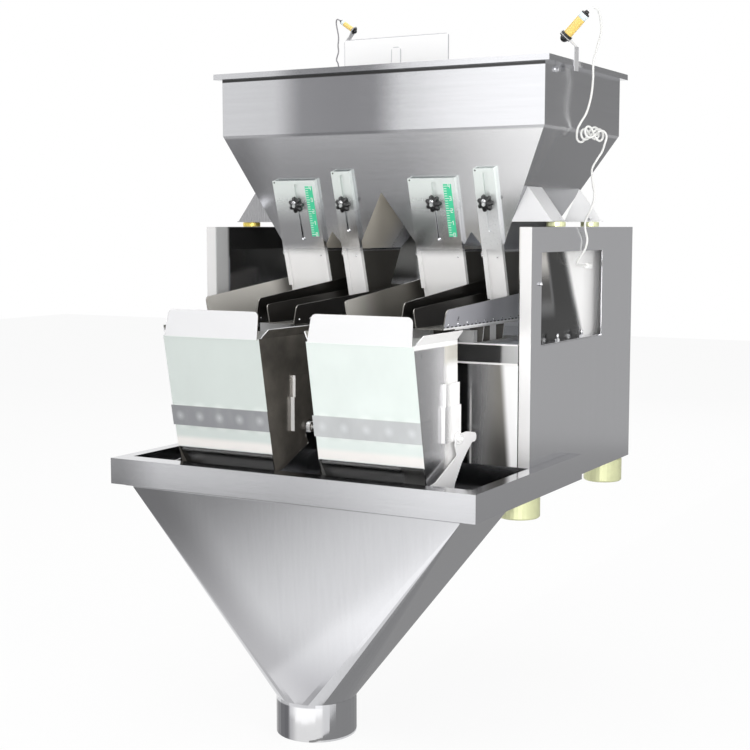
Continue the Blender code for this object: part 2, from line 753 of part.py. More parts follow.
def bucket_mesh():
    """Open-bottomed bucket: leaning front wall, side plates with flared rims, band and splash plate."""
    half = BUCKET_HALF
    sheet = BUCKET_SHEET
    body = prism([*BUCKET_FRONT, *BUCKET_REAR[::-1]], "X", -half, half)
    side = [
        BUCKET_FRONT[0],
        BUCKET_FRONT[1],
        (-0.2165, -0.455),
        (-0.140, -0.455),
        (-0.122, -0.432),
        (-0.100, -0.432),
        (-0.104, BUCKET_TOP),
    ]
    band_front = [front_wall_y(z) - 0.003 for z in BAND_Z]
    band = [(band_front[0], BAND_Z[0]), (-0.203, BAND_Z[0]), (-0.203, BAND_Z[1]), (band_front[1], BAND_Z[1])]
    body = join(
        body,
        prism(side, "X", -half, sheet - half),
        prism(side, "X", half - sheet, half),
        prism(band, "X", -half - 0.0015, half + 0.0015),
    )
    inner_front = [(y + sheet, z) for y, z in BUCKET_FRONT]
    inner_rear = [(y - sheet, z) for y, z in BUCKET_REAR]
    inner = [
        (inner_front[0][0], BUCKET_TOP + 0.02),
        *inner_front,
        (inner_front[2][0] + 0.004, -0.470),
        (inner_rear[2][0] - 0.004, -0.470),
        *inner_rear[::-1],
        (inner_rear[0][0], BUCKET_TOP + 0.02),
    ]
    body = cut(body, prism(inner, "X", sheet - half, half - sheet))

    splash = prism(rounded_splash(), "Y", 0.0, sheet)
    splash.transform(Matrix.Rotation(-atan2(0.010, 0.050), 4, "X"))
    body = join(body, moved(splash, (0.0, -0.2715, -0.2000)))

    rim = folded([(half, BUCKET_TOP - 0.004), (half, BUCKET_TOP), (half + 0.012, BUCKET_TOP + 0.016)], sheet)
    flare = cut(
        prism(rim, "Y", -0.262, -0.106),
        prism([(-0.27, -0.19), (-0.262, -0.193), (-0.250, -0.170), (-0.27, -0.170)], "X", 0.0, 0.2),
    )
    boxes = [
        box((half - sheet / 2, half + SIDE_BOX - 0.0015), (-0.160, -0.106), (-0.320, -0.272)),
        box((half - sheet / 2, half + SIDE_BOX), (-0.166, -0.103), (-0.375, -0.312)),
    ]
    stud_end = LEAF_X + LEAF_SHEET + 0.0075
    pin = rod((half, *PIVOT), (stud_end, *PIVOT), PIN_RADIUS, 16)
    nut_start = LEAF_X + LEAF_SHEET + 0.0008
    nut = rod((nut_start, *PIVOT), (stud_end - 0.002, *PIVOT), 0.0095, 12)
    for piece in (flare, *boxes, pin, nut):
        body = join(body, piece, mirrored(piece))

    hook = box((-0.030, 0.030), (-0.105, -0.1005), (-0.335, -0.235))
    return join(body, hook)


def rounded_splash():
    """Outline of the splash plate: square at its foot, round at its top corners."""
    low, high, top, radius = -0.1025, 0.1000, 0.051, 0.010
    return [
        (low, 0.0),
        (-low, 0.0),
        *arc((high - radius, top - radius), radius, 0, 90, 5),
        *arc((radius - high, top - radius), radius, 90, 180, 5),
    ]


def flap_mesh():
    """Discharge flap: bottom plate with a front lip, two cheek leaves and a lever bar behind."""
    leaf = [
        (-0.132, -0.381),
        (-0.123, -0.402),
        (-0.176, -0.424),
        (-0.207, -0.437),
        (-0.2315, -0.440),
        (-0.226, -0.4605),
        (-0.135, -0.4605),
        (-0.132, -0.450),
        (-0.118, -0.433),
        (-0.104, -0.416),
        (-0.080, -0.397),
        (-0.062, -0.385),
        *arc(LEVER_BAR, 0.0085, -80, 75, 4),
        (-0.085, -0.363),
        *arc(PIVOT, 0.0135, 35, 205, 6),
    ]
    plate = folded([(-0.2315, -0.440), (-0.226, -0.4605), (-0.135, -0.4605)], LEAF_SHEET)
    outer = LEAF_X + LEAF_SHEET
    flap = prism(plate, "X", -outer, outer)
    for start, end in ((-outer, -LEAF_X), (LEAF_X, outer)):
        cheek = prism(leaf, "X", start, end)
        bore = rod((start - 0.01, *PIVOT), (end + 0.01, *PIVOT), PIN_RADIUS + GAP, 16)
        flap = join(flap, cut(cheek, bore))
    bar = rod((-outer + 0.0005, *LEVER_BAR), (outer - 0.0005, *LEVER_BAR), LEVER_RADIUS, 12)
    return moved(join(flap, bar), (0.0, -PIVOT[0], -PIVOT[1]))


def load_cell_mesh():
    """Load-cell arm between the front panel and the bucket's hook plate, with its end plate."""
    arm = box((-0.015, 0.015), (-0.0965, 0.0002), (-0.300, -0.270))
    waist = prism(rounded_rectangle(-0.070, -0.030, -0.291, -0.279, 0.0055), "X", -0.05, 0.05)
    plate = box((-0.028, 0.028), (-0.1002, -0.0960), (-0.325, -0.245))
    return join(cut(arm, waist), plate)


def crank_mesh():
    """Crank on the flap motor's shaft; its roller lifts the flap's lever bar."""
    shaft = rod((0.0, -0.0063, 0.0), (0.0, -0.036, 0.0), 0.008, 16)
    arm = rounded_rectangle(-0.011, CRANK_ARM + 0.009, -0.009, 0.009, 0.0088)
    web = prism(arm, "Y", -0.040, -0.034)
    roller = rod((CRANK_ARM, -0.038, 0.0), (CRANK_ARM, -0.078, 0.0), CRANK_ROLLER, 16)
    mesh = join(shaft, web, roller)
    mesh.transform(Matrix.Rotation(radians(45), 4, "Y"))
    return mesh


def build_heads():
    for name, x in HEADS:
        bucket = add_object(f"bucket_{name}", bucket_mesh(), STEEL)
        bucket.location = (x, 0.0, 0.0)
        flap = add_object(f"bucket_flap_{name}", flap_mesh(), BRIGHT)
        flap.location = (x, *PIVOT)
        cell = add_object(f"load_cell_{name}", load_cell_mesh(), CASTING)
        cell.location = (x, 0.0, 0.0)
        crank = add_object(f"flap_crank_{name}", crank_mesh(), BRIGHT)
        crank.location = (x, 0.0, CRANK_Z)


# ---------------------------------------------------------------------------------------------------
# Discharge tray and funnel
# ---------------------------------------------------------------------------------------------------
def build_tray():
    """Flanged tray under the buckets; its side channels run back along the cheeks."""
    low, high = TRAY_Z
    outline = rectangle(-TRAY_HALF, TRAY_HALF, TRAY_FRONT, TRAY_BACK)
    tray = prism(outline, "Z", low, high)
    cheek = CABINET_HALF + GAP
    wall = SHEET
    channel = box((wall - TRAY_HALF, TRAY_HALF - wall), (TRAY_FRONT + wall, 0.3), (low + wall, high - wall))
    mouth = box(
        (TRAY_RIM - TRAY_HALF, TRAY_HALF - TRAY_RIM),
        (TRAY_FRONT + TRAY_RIM + 0.012, -0.0042),
        (low + wall / 2, high + 0.01),
    )
    outlet = box((-FUNNEL_HALF, FUNNEL_HALF), FUNNEL_Y, (low - 0.01, low + 0.01))
    cabinet = box((-cheek, cheek), (-0.0022, 0.3), (low - 0.01, high + 0.01))
    back = box((wall - cheek, cheek - wall), (-0.0042, -0.0022), (low + wall / 2, high))
    tray = cut(tray, channel, mouth, outlet, cabinet)
    add_object("discharge_tray", join(tray, back), STEEL)


def square_to_round(half_x, y_range, top_z, radius, bottom_z):
    """Two loops that run in step: rectangle corners above, quarter arcs below."""
    corners = [(half_x, y_range[1]), (-half_x, y_range[1]), (-half_x, y_range[0]), (half_x, y_range[0])]
    upper, lower = [], []
    for quarter, (x, y) in enumerate(corners):
        for step in range(ARC_STEPS + 1):
            angle = radians(90 * quarter + 90 * step / ARC_STEPS)
            upper.append((x, y, top_z))
            lower.append((radius * cos(angle), COLLAR_Y + radius * sin(angle), bottom_z))
    return upper, lower


def build_funnel():
    """Square-to-round funnel with a flange above and a round collar below."""
    def raised(loop, z):
        return [(x, y, z) for x, y, _ in loop]

    flange = 0.010
    flange_y = (FUNNEL_Y[0] - flange, FUNNEL_Y[1] + flange)
    top, ring = square_to_round(FUNNEL_HALF, FUNNEL_Y, FUNNEL_FOLD, COLLAR_RADIUS, COLLAR_Z[1])
    edge, _ = square_to_round(FUNNEL_HALF + flange, flange_y, FUNNEL_TOP, COLLAR_RADIUS, 0.0)
    inset = SHEET * 1.2
    inner_y = (FUNNEL_Y[0] + inset, FUNNEL_Y[1] - inset)
    throat = COLLAR_RADIUS - SHEET
    mouth, bore = square_to_round(FUNNEL_HALF - inset, inner_y, FUNNEL_FOLD, throat, COLLAR_Z[1])
    loops = [
        raised(ring, COLLAR_Z[0]),
        ring,
        top,
        raised(top, FUNNEL_TOP - SHEET),
        raised(edge, FUNNEL_TOP - SHEET),
        edge,
        raised(mouth, FUNNEL_TOP),
        mouth,
        bore,
        raised(bore, COLLAR_Z[0]),
    ]
    add_object("funnel", loft(loops, closed=True), STEEL)


# ---------------------------------------------------------------------------------------------------
# Level sensors: in the sensor frame the nose points along -Z from the bracket's ring
# ---------------------------------------------------------------------------------------------------
def sensor_mesh(radius, tail):
    """Barrel with a domed nose, a lock nut against the ring, a clear end cap and a cable entry."""
    ring = 0.0009
    nose = radius * 0.9
    dome = arc((0.0, -ring - 0.4 * nose), nose, -80, 0, 5)
    profile = [
        (0.0, -ring - 1.4 * nose),
        *dome,
        (radius * 1.3, -ring - 0.35 * nose),
        (radius * 1.3, -ring),
        (radius * 0.8, -ring),
        (radius * 0.8, ring),
        (radius * 1.3, ring),
        (radius * 1.3, ring + 0.45 * radius),
        (radius, ring + 0.45 * radius),
        (radius, tail * 0.70),
        (radius * 0.94, tail * 0.72),
        (radius * 0.94, tail * 0.90),
        (radius * 0.60, tail * 0.92),
        (radius * 0.34, tail),
        (0.0, tail),
    ]
    return turned(profile, 20)


BRACKET_SHEET = 0.0012


def ring_strip(half, reach, ring_radius, bore, lean):
    """Strip that leans over in the XZ plane and ends in a ring round the sensor's neck."""
    outline = [(-half, -GAP), (half, -GAP), *arc((0.0, reach), ring_radius, -20, 200, 12)]
    hole = moved(rod((0.0, -0.01, 0.0), (0.0, 0.01, 0.0), bore + GAP, 20), (0.0, 0.0, reach))
    plate = cut(prism(outline, "Y", -BRACKET_SHEET / 2, BRACKET_SHEET / 2), hole)
    plate.transform(Matrix.Rotation(lean, 4, "Y") @ Matrix.Rotation(radians(90), 4, "Z"))
    return plate


def place_sensor(side, centre, radius, tail, lean):
    sensor = add_object(f"sensor_{side}", sensor_mesh(radius, tail), AMBER)
    sensor.matrix_local = Matrix.Translation(centre) @ Matrix.Rotation(lean, 4, "Y")


def build_right_sensor():
    """The right sensor looks down across the hopper from a strip on the rim's right side."""
    centre, radius, tail = RIGHT_SENSOR
    lean = radians(45)
    place_sensor("right", centre, radius, tail, lean)
    bend_x = HOPPER_HALF + RIM_WIDTH + GAP + BRACKET_SHEET / 2
    reach = (bend_x - centre[0]) / sin(lean)
    bend = (bend_x, centre[1], centre[2] - reach * cos(lean))
    half = BRACKET_SHEET / 2
    upright = box((-half, half), (-0.010, 0.010), (0.289 - bend[2], GAP))
    strip = ring_strip(0.010, reach, 0.014, radius * 0.8, -lean)
    piece = add_object("sensor_bracket_right", join(upright, strip), BRIGHT)
    piece.location = bend


def build_left_sensor():
    """The left sensor's strip stands behind the upright plate on the rear rim."""
    centre, radius, tail = LEFT_SENSOR
    lean = atan2(0.047, 0.032)
    place_sensor("left", centre, radius, tail, -lean)
    reach = 0.022
    bend = Vector(centre) - reach * Vector((cos(lean), 0.0, sin(lean)))
    back = REAR_PLATE_Y + SHEET + GAP - bend.y
    upright = box((-0.006, 0.006), (back, back + BRACKET_SHEET), (-0.034, 0.001))
    knee = box((-0.003, 0.003), (-0.004, 0.004), (-0.0015, 0.003))
    strip = ring_strip(0.006, reach, 0.010, radius * 0.8, pi / 2 - lean)
    piece = add_object("sensor_bracket_left", join(upright, knee, strip), BRIGHT)
    piece.location = bend


# ---------------------------------------------------------------------------------------------------
# Sensor cables
# ---------------------------------------------------------------------------------------------------
CABLE_UPPER = (
    (0.3909, 0.173, 0.3981),
    (0.3948, 0.1731, 0.4018),
    (0.4015, 0.1800, 0.4035),
    (0.4050, 0.192, 0.3960),
    (0.4050, 0.204, 0.3760),
    (0.4020, 0.210, 0.3596),
    (0.3920, 0.217, 0.3342),
    (0.3820, 0.226, 0.3098),
    (0.3780, 0.2355, 0.2774),
    (0.3780, 0.226, 0.2448),
    (0.3800, 0.214, 0.2155),
    (0.3800, 0.221, 0.1915),
)
HANK_CENTRE = (0.3800, 0.2300, 0.1758)
HANK_SIZE = (0.0075, 0.044, 0.030)
CABLE_LOWER = (
    (0.3800, 0.250, 0.1603),
    (0.3780, 0.2549, 0.1468),
    (0.3760, 0.2424, 0.1236),
    (0.3740, 0.2405, 0.1047),
    (0.3720, 0.2604, 0.0804),
    (0.3700, 0.2749, 0.0616),
    (0.3680, 0.2675, 0.0402),
    (0.3660, 0.2400, 0.0131),
    (0.3640, 0.2423, -0.0021),
    (0.3616, 0.2645, -0.0253),
    (0.3606, 0.2478, -0.0472),
    (0.3560, 0.2375, -0.0560),
    (0.3510, 0.2358, -0.0619),
    (0.3470, 0.2430, -0.0672),
    (0.3448, 0.2600, -0.0712),
    (0.3436, 0.2850, -0.0752),
    (0.3435, 0.3081, -0.0762),
)
CABLE_REAR = (
    (-0.3175, 0.4665, 0.4648),
    (-0.3212, 0.4667, 0.4672),
    (-0.3285, 0.4700, 0.4680),
    (-0.3320, 0.4740, 0.4590),
    (-0.3270, 0.4750, 0.4302),
    (-0.3284, 0.4750, 0.4102),
    (-0.3272, 0.4750, 0.3967),
    (-0.3325, 0.4750, 0.3790),
    (-0.3273, 0.4750, 0.3653),
    (-0.3240, 0.4750, 0.3100),
    (-0.3150, 0.4800, 0.2000),
    (-0.3070, 0.5000, 0.0900),
    (-0.3020, 0.5380, 0.0260),
    (-0.3000, 0.5690, -0.0120),
    (-0.3000, 0.5800, -0.0400),
    (-0.3000, 0.5700, -0.0585),
    (-0.3000, 0.5544, -0.0600),
)


def smooth_route(points, spacing):
    """Points at an even spacing along a Catmull-Rom curve through the route."""
    points = [Vector(point) for point in points]
    padded = [2 * points[0] - points[1], *points, 2 * points[-1] - points[-2]]
    fine = []
    for before, start, end, after in zip(padded, padded[1:], padded[2:], padded[3:]):
        for step in range(16):
            t = step / 16
            fine.append(
                0.5
                * (
                    2 * start
                    + (end - before) * t
                    + (2 * before - 5 * start + 4 * end - after) * t**2
                    + (3 * start - before - 3 * end + after) * t**3
                )
            )
    fine.append(points[-1])
    total = sum((b - a).length for a, b in zip(fine, fine[1:]))
    count = max(2, round(total / spacing))
    result, travelled, target = [fine[0]], 0.0, total / count
    for start, end in zip(fine, fine[1:]):
        length = (end - start).length
        while travelled + length >= target and len(result) < count:
            result.append(start.lerp(end, (target - travelled) / length))
            target += total / count
        travelled += length
    return [*result, fine[-1]]


def cable(name, route, diameter, material):
    curve = bpy.data.curves.new(name, "CURVE")
    curve.dimensions = "3D"
    curve.bevel_depth = diameter / 2
    curve.bevel_resolution = 2
    curve.render_resolution_u = 0
    curve.use_fill_caps = True
    points = smooth_route(route, diameter * 2.9)
    spline = curve.splines.new("POLY")
    spline.points.add(len(points) - 1)
    for target, point in zip(spline.points, points):
        target.co = (*point, 1.0)
    curve.materials.append(material)
    piece = bpy.data.objects.new(name, curve)
    piece.parent = DATUM
    bpy.context.scene.collection.objects.link(piece)


def build_cables():
    cable("cable_right_upper", CABLE_UPPER, CABLE_RIGHT, SHEATH)
    cable("cable_right_lower", CABLE_LOWER, CABLE_RIGHT, SHEATH)
    cable("cable_left", CABLE_REAR, CABLE_LEFT, GREY_SHEATH)
    thick, width, height = HANK_SIZE
    outline = rounded_rectangle(-width / 2, width / 2, -height / 2, height / 2, height * 0.499, 8)
    hank = add_object("cable_right_hank", prism(outline, "X", -thick / 2, thick / 2), SHEATH)
    hank.location = HANK_CENTRE


def main():
    build_cheeks()
    build_deck()
    build_front_panel()
    build_rear_and_floor()
    build_feet()
    build_hopper()
    build_brackets()
    build_rear_plate()
    build_gates()
    build_pans()
    build_heads()
    build_tray()
    build_funnel()
    build_right_sensor()
    build_left_sensor()
    build_cables()
    bpy.context.view_layer.update()


main()
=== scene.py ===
"""Dresses the two-head linear weigher: finishes, cables, sensors, scales and fasteners."""

import math

import bmesh
import bpy
from bpy.props import FloatProperty, FloatVectorProperty, IntProperty, PointerProperty
from bpy.types import Operator, Panel, PropertyGroup
from mathutils import Matrix, Vector


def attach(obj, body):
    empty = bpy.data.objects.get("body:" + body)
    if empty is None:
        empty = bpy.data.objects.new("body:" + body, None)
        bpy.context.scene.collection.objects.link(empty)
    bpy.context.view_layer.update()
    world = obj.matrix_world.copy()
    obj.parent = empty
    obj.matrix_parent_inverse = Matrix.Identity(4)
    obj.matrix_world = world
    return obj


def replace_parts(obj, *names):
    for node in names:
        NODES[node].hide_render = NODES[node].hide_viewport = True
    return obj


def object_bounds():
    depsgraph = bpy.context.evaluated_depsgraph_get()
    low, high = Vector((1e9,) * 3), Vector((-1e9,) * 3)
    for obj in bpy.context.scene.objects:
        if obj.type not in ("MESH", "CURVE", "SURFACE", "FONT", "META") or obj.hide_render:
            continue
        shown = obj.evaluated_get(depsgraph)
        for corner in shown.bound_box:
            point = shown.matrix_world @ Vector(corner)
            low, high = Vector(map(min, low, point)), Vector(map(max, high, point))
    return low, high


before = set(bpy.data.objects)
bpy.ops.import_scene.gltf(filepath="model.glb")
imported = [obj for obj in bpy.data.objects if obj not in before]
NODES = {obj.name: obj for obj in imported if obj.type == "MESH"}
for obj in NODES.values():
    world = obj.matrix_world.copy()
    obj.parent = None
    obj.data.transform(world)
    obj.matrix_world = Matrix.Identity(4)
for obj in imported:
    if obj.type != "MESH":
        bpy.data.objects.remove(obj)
CAD_BOX = [list(corner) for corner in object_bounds()]

bl_info = {
    "name": "Linear Weigher Dressing",
    "version": (1, 0, 0),
    "blender": (4, 5, 0),
    "location": "3D View > Sidebar > Weigher",
    "description": "Finishes, cables, sensors and small hardware of a two-head linear weigher",
    "category": "Object",
}

# The cabinet's front plane and top: a place given with at() starts from here.
CABINET = Vector((0.0, -0.270, 0.537))


# ---- Settings ----


def colour(name, description, default):
    return FloatVectorProperty(
        name=name, description=description, subtype="COLOR", size=3, min=0, max=1, default=default
    )


def length(name, description, default):
    return FloatProperty(
        name=name, description=description, subtype="DISTANCE", unit="LENGTH", default=default
    )


class WeigherFinishes(PropertyGroup):
    """Colours of the sheet, the plated parts and the plastics."""

    sheet: colour("Brushed sheet", "Sheet of the cabinet and the hopper", (0.61, 0.613, 0.632))
    bright: colour("Bright sheet", "Sheet of the gates, brackets and drives", (0.705, 0.708, 0.724))
    bucket: colour("Bucket face", "Pale satin face of a weighing bucket", (0.72, 0.78, 0.75))
    zinc: colour("Yellow zinc", "Plated feet and hopper posts", (0.70, 0.72, 0.43))
    black: colour("Black moulding", "Knobs and sensor nuts", (0.012, 0.012, 0.013))
    amber: colour("Amber barrel", "Barrel of the level sensors", (0.92, 0.64, 0.17))
    scale: colour("Gate scale", "Green strip with the gate's scale", (0.060, 0.62, 0.33))
    cable: colour("White sheath", "Cable of the right sensor", (0.82, 0.82, 0.80))
    cable_rear: colour("Grey sheath", "Cable of the left sensor", (0.30, 0.29, 0.31))


class WeigherSizes(PropertyGroup):
    """Sizes that a user would change."""

    edge: length("Edge radius", "Rounding of the folded sheet edges", 0.0009)
    cable_right: length("Right cable", "Diameter of the right sensor's cable", 0.0042)
    cable_left: length("Left cable", "Diameter of the left sensor's cable", 0.0032)
    hank_turns: IntProperty(
        name="Hank turns", description="Loops in the tied cable", default=2, min=1, max=2
    )


# ---- Shader maths ----


class Signal:
    """A number socket that works in expressions; each operator adds its Math node."""

    def __init__(self, graph, socket):
        self.graph = graph
        self.socket = socket

    def math(self, operation, *others):
        return self.graph.math(operation, self, *others)

    def __add__(self, other):
        return self.math("ADD", other)

    def __sub__(self, other):
        return self.math("SUBTRACT", other)

    def __rsub__(self, other):
        return self.graph.math("SUBTRACT", other, self)

    def __mul__(self, other):
        return self.math("MULTIPLY", other)

    def __truediv__(self, other):
        return self.math("DIVIDE", other)

    def __rtruediv__(self, other):
        return self.graph.math("DIVIDE", other, self)

    __radd__ = __add__
    __rmul__ = __mul__

    def step(self, edge, blur, start, end):
        """A soft step from start to end, as wide as blur."""
        low, high = edge - blur / 2, edge + blur / 2
        inputs = {"Value": self, "From Min": low, "From Max": high, "To Min": start, "To Max": end}
        made = self.graph.node("ShaderNodeMapRange", {"interpolation_type": "SMOOTHSTEP"}, inputs)
        return Signal(self.graph, made.outputs["Result"])

    def above(self, edge, blur):
        """A mask that is 0 below the edge and 1 above it."""
        return self.step(edge, blur, 0, 1)

    def below(self, edge, blur):
        """A mask that is 1 below the edge and 0 above it."""
        return self.step(edge, blur, 1, 0)

    def between(self, low, high, blur):
        """A mask that is 1 between the two edges."""
        return self.above(low, blur) * self.below(high, blur)


# A Mix node's sockets for colours: the factor, the two colours and the result.
MIX_FACTOR, MIX_FIRST, MIX_SECOND, MIX_RESULT = 0, 6, 7, 2
WHITE = (1, 1, 1)


class Graph:
    """A node tree that is built node by node."""

    def __init__(self, tree):
        self.tree = tree
        tree.nodes.clear()

    def node(self, kind, settings=None, inputs=None):
        """Any node: its type, its settings, set first, and the values or links of its sockets."""
        made = self.tree.nodes.new(kind)
        for key, value in (settings or {}).items():
            setattr(made, key, value)
        self.feed(made, inputs or {})
        return made

    def feed(self, made, inputs):
        """Gives a node's sockets their values, or links signals and other sockets to them."""
        for key, value in inputs.items():
            socket = made.inputs[key]
            if isinstance(value, Signal):
                value = value.socket
            if isinstance(value, bpy.types.NodeSocket):
                self.tree.links.new(value, socket)
            else:
                socket.default_value = (*value, 1.0) if socket.type == "RGBA" else value

    def math(self, operation, *values):
        made = self.node("ShaderNodeMath", {"operation": operation}, dict(enumerate(values)))
        return Signal(self, made.outputs[0])

    def seen(self):
        """1 for what is seen straight, mirrored or through glass, and 0 for the light it gives."""
        path = self.node("ShaderNodeLightPath")
        rays = ("Is Camera Ray", "Is Glossy Ray", "Is Transmission Ray")
        straight, mirrored, through = (Signal(self, path.outputs[ray]) for ray in rays)
        return straight.math("MAXIMUM", mirrored).math("MAXIMUM", through)

    def mixed(self, factor, first, second):
        """The shaders of two nodes, mixed by a factor."""
        inputs = {0: factor, 1: first.outputs[0], 2: second.outputs[0]}
        return self.node("ShaderNodeMixShader", inputs=inputs)


class Finish(Graph):
    """One surface finish: its material, with a Principled shader and what feeds it."""

    def __init__(self, name):
        self.material = bpy.data.materials.new(name)
        self.material.use_nodes = True
        super().__init__(self.material.node_tree)
        self.shader = self.node("ShaderNodeBsdfPrincipled")
        self.output = self.node("ShaderNodeOutputMaterial")
        self.show(self.shader)
        self.place = self.node("ShaderNodeTexCoord").outputs["Object"]

    def show(self, node):
        """Sends a node's shader to the surface."""
        self.feed(self.output, {"Surface": node.outputs[0]})

    def set(self, **sockets):
        """Feeds the Principled shader's sockets, written in small letters."""
        for key, value in sockets.items():
            self.feed(self.shader, {key.replace("_", " ").title(): value})

    def split(self, vector):
        made = self.node("ShaderNodeSeparateXYZ", inputs={"Vector": vector})
        return [Signal(self, made.outputs[axis]) for axis in "XYZ"]

    def axes(self):
        """The place on the weigher along X, Y and Z, in metres."""
        return self.split(self.place)

    def normal(self):
        """The normal along X, Y and Z; the last is positive on faces that look up."""
        return self.split(self.node("ShaderNodeNewGeometry").outputs["Normal"])

    def facing(self):
        """How squarely a face looks along X, Y and Z, either way."""
        return [part.math("ABSOLUTE") for part in self.normal()]

    def noise(self, scale, stretch=(1, 1, 1), detail=3.0, roughness=0.5, shift=(0, 0, 0)):
        inputs = {"Vector": self.place, "Scale": stretch, "Location": shift}
        vector = self.node("ShaderNodeMapping", inputs=inputs).outputs["Vector"]
        inputs = {"Vector": vector, "Scale": scale, "Detail": detail, "Roughness": roughness}
        return Signal(self, self.node("ShaderNodeTexNoise", inputs=inputs).outputs[0])

    def blend(self, factor, first, second):
        """A colour between two others, by a number or a signal."""
        inputs = {MIX_FACTOR: factor, MIX_FIRST: first, MIX_SECOND: second}
        return self.node("ShaderNodeMix", {"data_type": "RGBA"}, inputs).outputs[MIX_RESULT]

    def layered(self, base, *coats):
        """A colour under coats, each a mask with its own colour."""
        for mask, tint in coats:
            base = self.blend(mask, base, tint)
        return base

    def bump(self, height, strength, distance):
        inputs = {"Strength": strength, "Distance": distance, "Height": height}
        return self.node("ShaderNodeBump", inputs=inputs).outputs["Normal"]


def tinted(tint, factor):
    """A lighter or darker colour, kept below white; a single number is a grey."""
    parts = (tint,) * 3 if isinstance(tint, float) else tint
    return tuple(min(1.0, part * factor) for part in parts)


# ---- Finishes ----


def settings():
    return bpy.context.scene.weigher_finishes


def sizes():
    return bpy.context.scene.weigher_sizes


def sheet_finish(name, tint, grain=(1, 1, 0.015), rough=0.15, streak=0.10, patches=None):
    """Ground stainless sheet: long fine scratches along the grain and faint wiping marks.

    Each patch is a mask with its tint and metallic share; most patches paint light, shade,
    highlights and reflections into the sheet's colour.
    """
    finish = Finish(name)
    scratches = finish.noise(1500, grain, detail=2.0)
    streaks = finish.noise(160, grain, detail=2.0)
    wiped = finish.noise(5, detail=2.0)
    shade = (scratches - 0.5) * 0.12 + (streaks - 0.5) * streak + 0.5
    base = finish.blend(shade, tinted(tint, 0.80), tinted(tint, 1.20))
    roughness = (scratches - 0.5) * 0.08 + (wiped - 0.5) * 0.04 + rough
    metal = 1.0
    for mask, patch, share in patches(finish, *finish.axes()) if patches else ():
        grained = finish.blend(shade, tinted(patch, 0.95), tinted(patch, 1.05))
        base = finish.blend(mask, base, grained)
        metal = (1 - mask) * metal + mask * share
        roughness = roughness + mask * (1 - share) * 0.25
    finish.set(base_color=base, metallic=metal, roughness=roughness)
    finish.set(normal=finish.bump(scratches + streaks * 0.6, 0.08, 0.0003))
    return finish


# The mask of a patch that covers the whole sheet.
EVERYWHERE = 1.0
# Levels at which the sheets fold, end or join, in metres.
HOPPER_FOLD = 0.716
DUCT_TOP = 0.490
FUNNEL_SEAM = 0.0474
COLLAR_TOP = -0.335
DECK_LIP = (0.2905, 0.3225)
PAN_RAIL = (0.3602, 0.3624)
# Middle and radius of the funnel's round collar.
COLLAR = Vector((0.004, -0.432))
COLLAR_RADIUS = 0.068


def hopper_patches(finish, x, y, z):
    """Painted light and shade on the hopper: a painted dark reflection band across the upper front,
    a painted shadow line under the rim, painted highlight and shade at the right and left of the
    front slope, painted shade on the right lower slopes and in the ducts, and painted warm light on
    the inner ones.
    """
    sideways, ahead, up = finish.facing()
    below_fold = z.below(HOPPER_FOLD, 0.004)
    front = ahead.above(0.9, 0.05)
    band = front * z.above(HOPPER_FOLD, 0.004) * x.between(-0.195, 0.030, 0.08)
    slope = front * below_fold
    lower = sideways.above(0.7, 0.1) * up.above(0.35, 0.05) * below_fold
    inner = lower * x.between(-0.16, 0.16, 0.02) * z.above(DUCT_TOP, 0.005)
    duct = sideways.above(0.5, 0.2) * z.below(DUCT_TOP, 0.005)
    painted_rim_shadow = front * z.between(0.8290, 0.8345, 0.0014)
    # All of these tints paint light and shade: the band and the slope's ends are painted
    # reflections, the ducts and right lower slopes painted shade, the line under the rim a painted
    # shadow.
    return [
        (band, (0.30, 0.30, 0.315), 1.0),
        (slope * x.above(0.16, 0.28), (0.93, 0.93, 0.94), 1.0),
        (slope * x.below(-0.27, 0.10), (0.36, 0.36, 0.375), 1.0),
        (lower * x.above(0.20, 0.02), (0.34, 0.342, 0.355), 1.0),
        (inner * y.below(-0.02, 0.12), (0.66, 0.62, 0.54), 0.15),
        (duct, (0.10, 0.095, 0.085), 0.4),
        (painted_rim_shadow, 0.06, 1.0),
    ]


def funnel_patches(finish, x, y, z):
    """Painted shade on the funnel: a painted shadow line under the tray at the top seam, painted
    shade inside, at its foot and at its left edge; the collar has one painted highlight band beside
    a painted dark side.
    """
    front = finish.facing()[1].above(0.9, 0.05)
    left = (x + (z + 0.08) * 0.77).below(-0.155, 0.10)
    foot = z.below(-0.24, 0.20) * z.above(COLLAR_TOP, 0.004)
    collar = z.below(COLLAR_TOP, 0.003)
    across = ((x - COLLAR.x) * 0.872 + (y - COLLAR.y) * 0.49) / COLLAR_RADIUS
    inside = finish.normal()[2].above(0.05, 0.02) * z.below(0.049, 0.002)
    return [
        (z.above(FUNNEL_SEAM, 0.0006), (0.045, 0.045, 0.05), 0.9),
        (inside, 0.04, 0.9),
        (front * foot, (0.32, 0.32, 0.335), 1.0),
        (front * left, (0.44, 0.44, 0.455), 1.0),
        (collar * across.between(-0.60, 0.16, 0.20), (0.70, 0.70, 0.71), 1.0),
        (collar * across.below(-0.74, 0.10), (0.13, 0.13, 0.14), 1.0),
    ]


def tray_patches(finish, x, y, z):
    """Painted shade: the tray's lip is darker at its left end."""
    left = finish.facing()[1].above(0.9, 0.05) * x.below(-0.31, 0.12)
    return [(left, (0.30, 0.30, 0.31), 1.0)]


def liner_left_patches(finish, x, y, z):
    """Painted shade in the left cheek's window: dark all over, a blue-grey middle painted as the
    skin in shade, and a lighter grey front strip.
    """
    strip = y.below(-0.228, 0.012)
    middle = y.below(-0.135, 0.010) * z.below(0.475, 0.006) * (1 - strip)
    return [
        (EVERYWHERE, 0.03, 0.6),
        (middle, (0.14, 0.145, 0.17), 0.15),
        (strip, 0.50, 0.2),
    ]


def cheek_patches(finish, x, y, z):
    """The narrow front edges of the cheeks are lighter and less metallic: partly their own polish,
    partly a painted highlight.
    """
    front = finish.facing()[1].above(0.8, 0.1) * y.below(-0.267, 0.002)
    return [(front, (0.72, 0.713, 0.709), 0.35)]


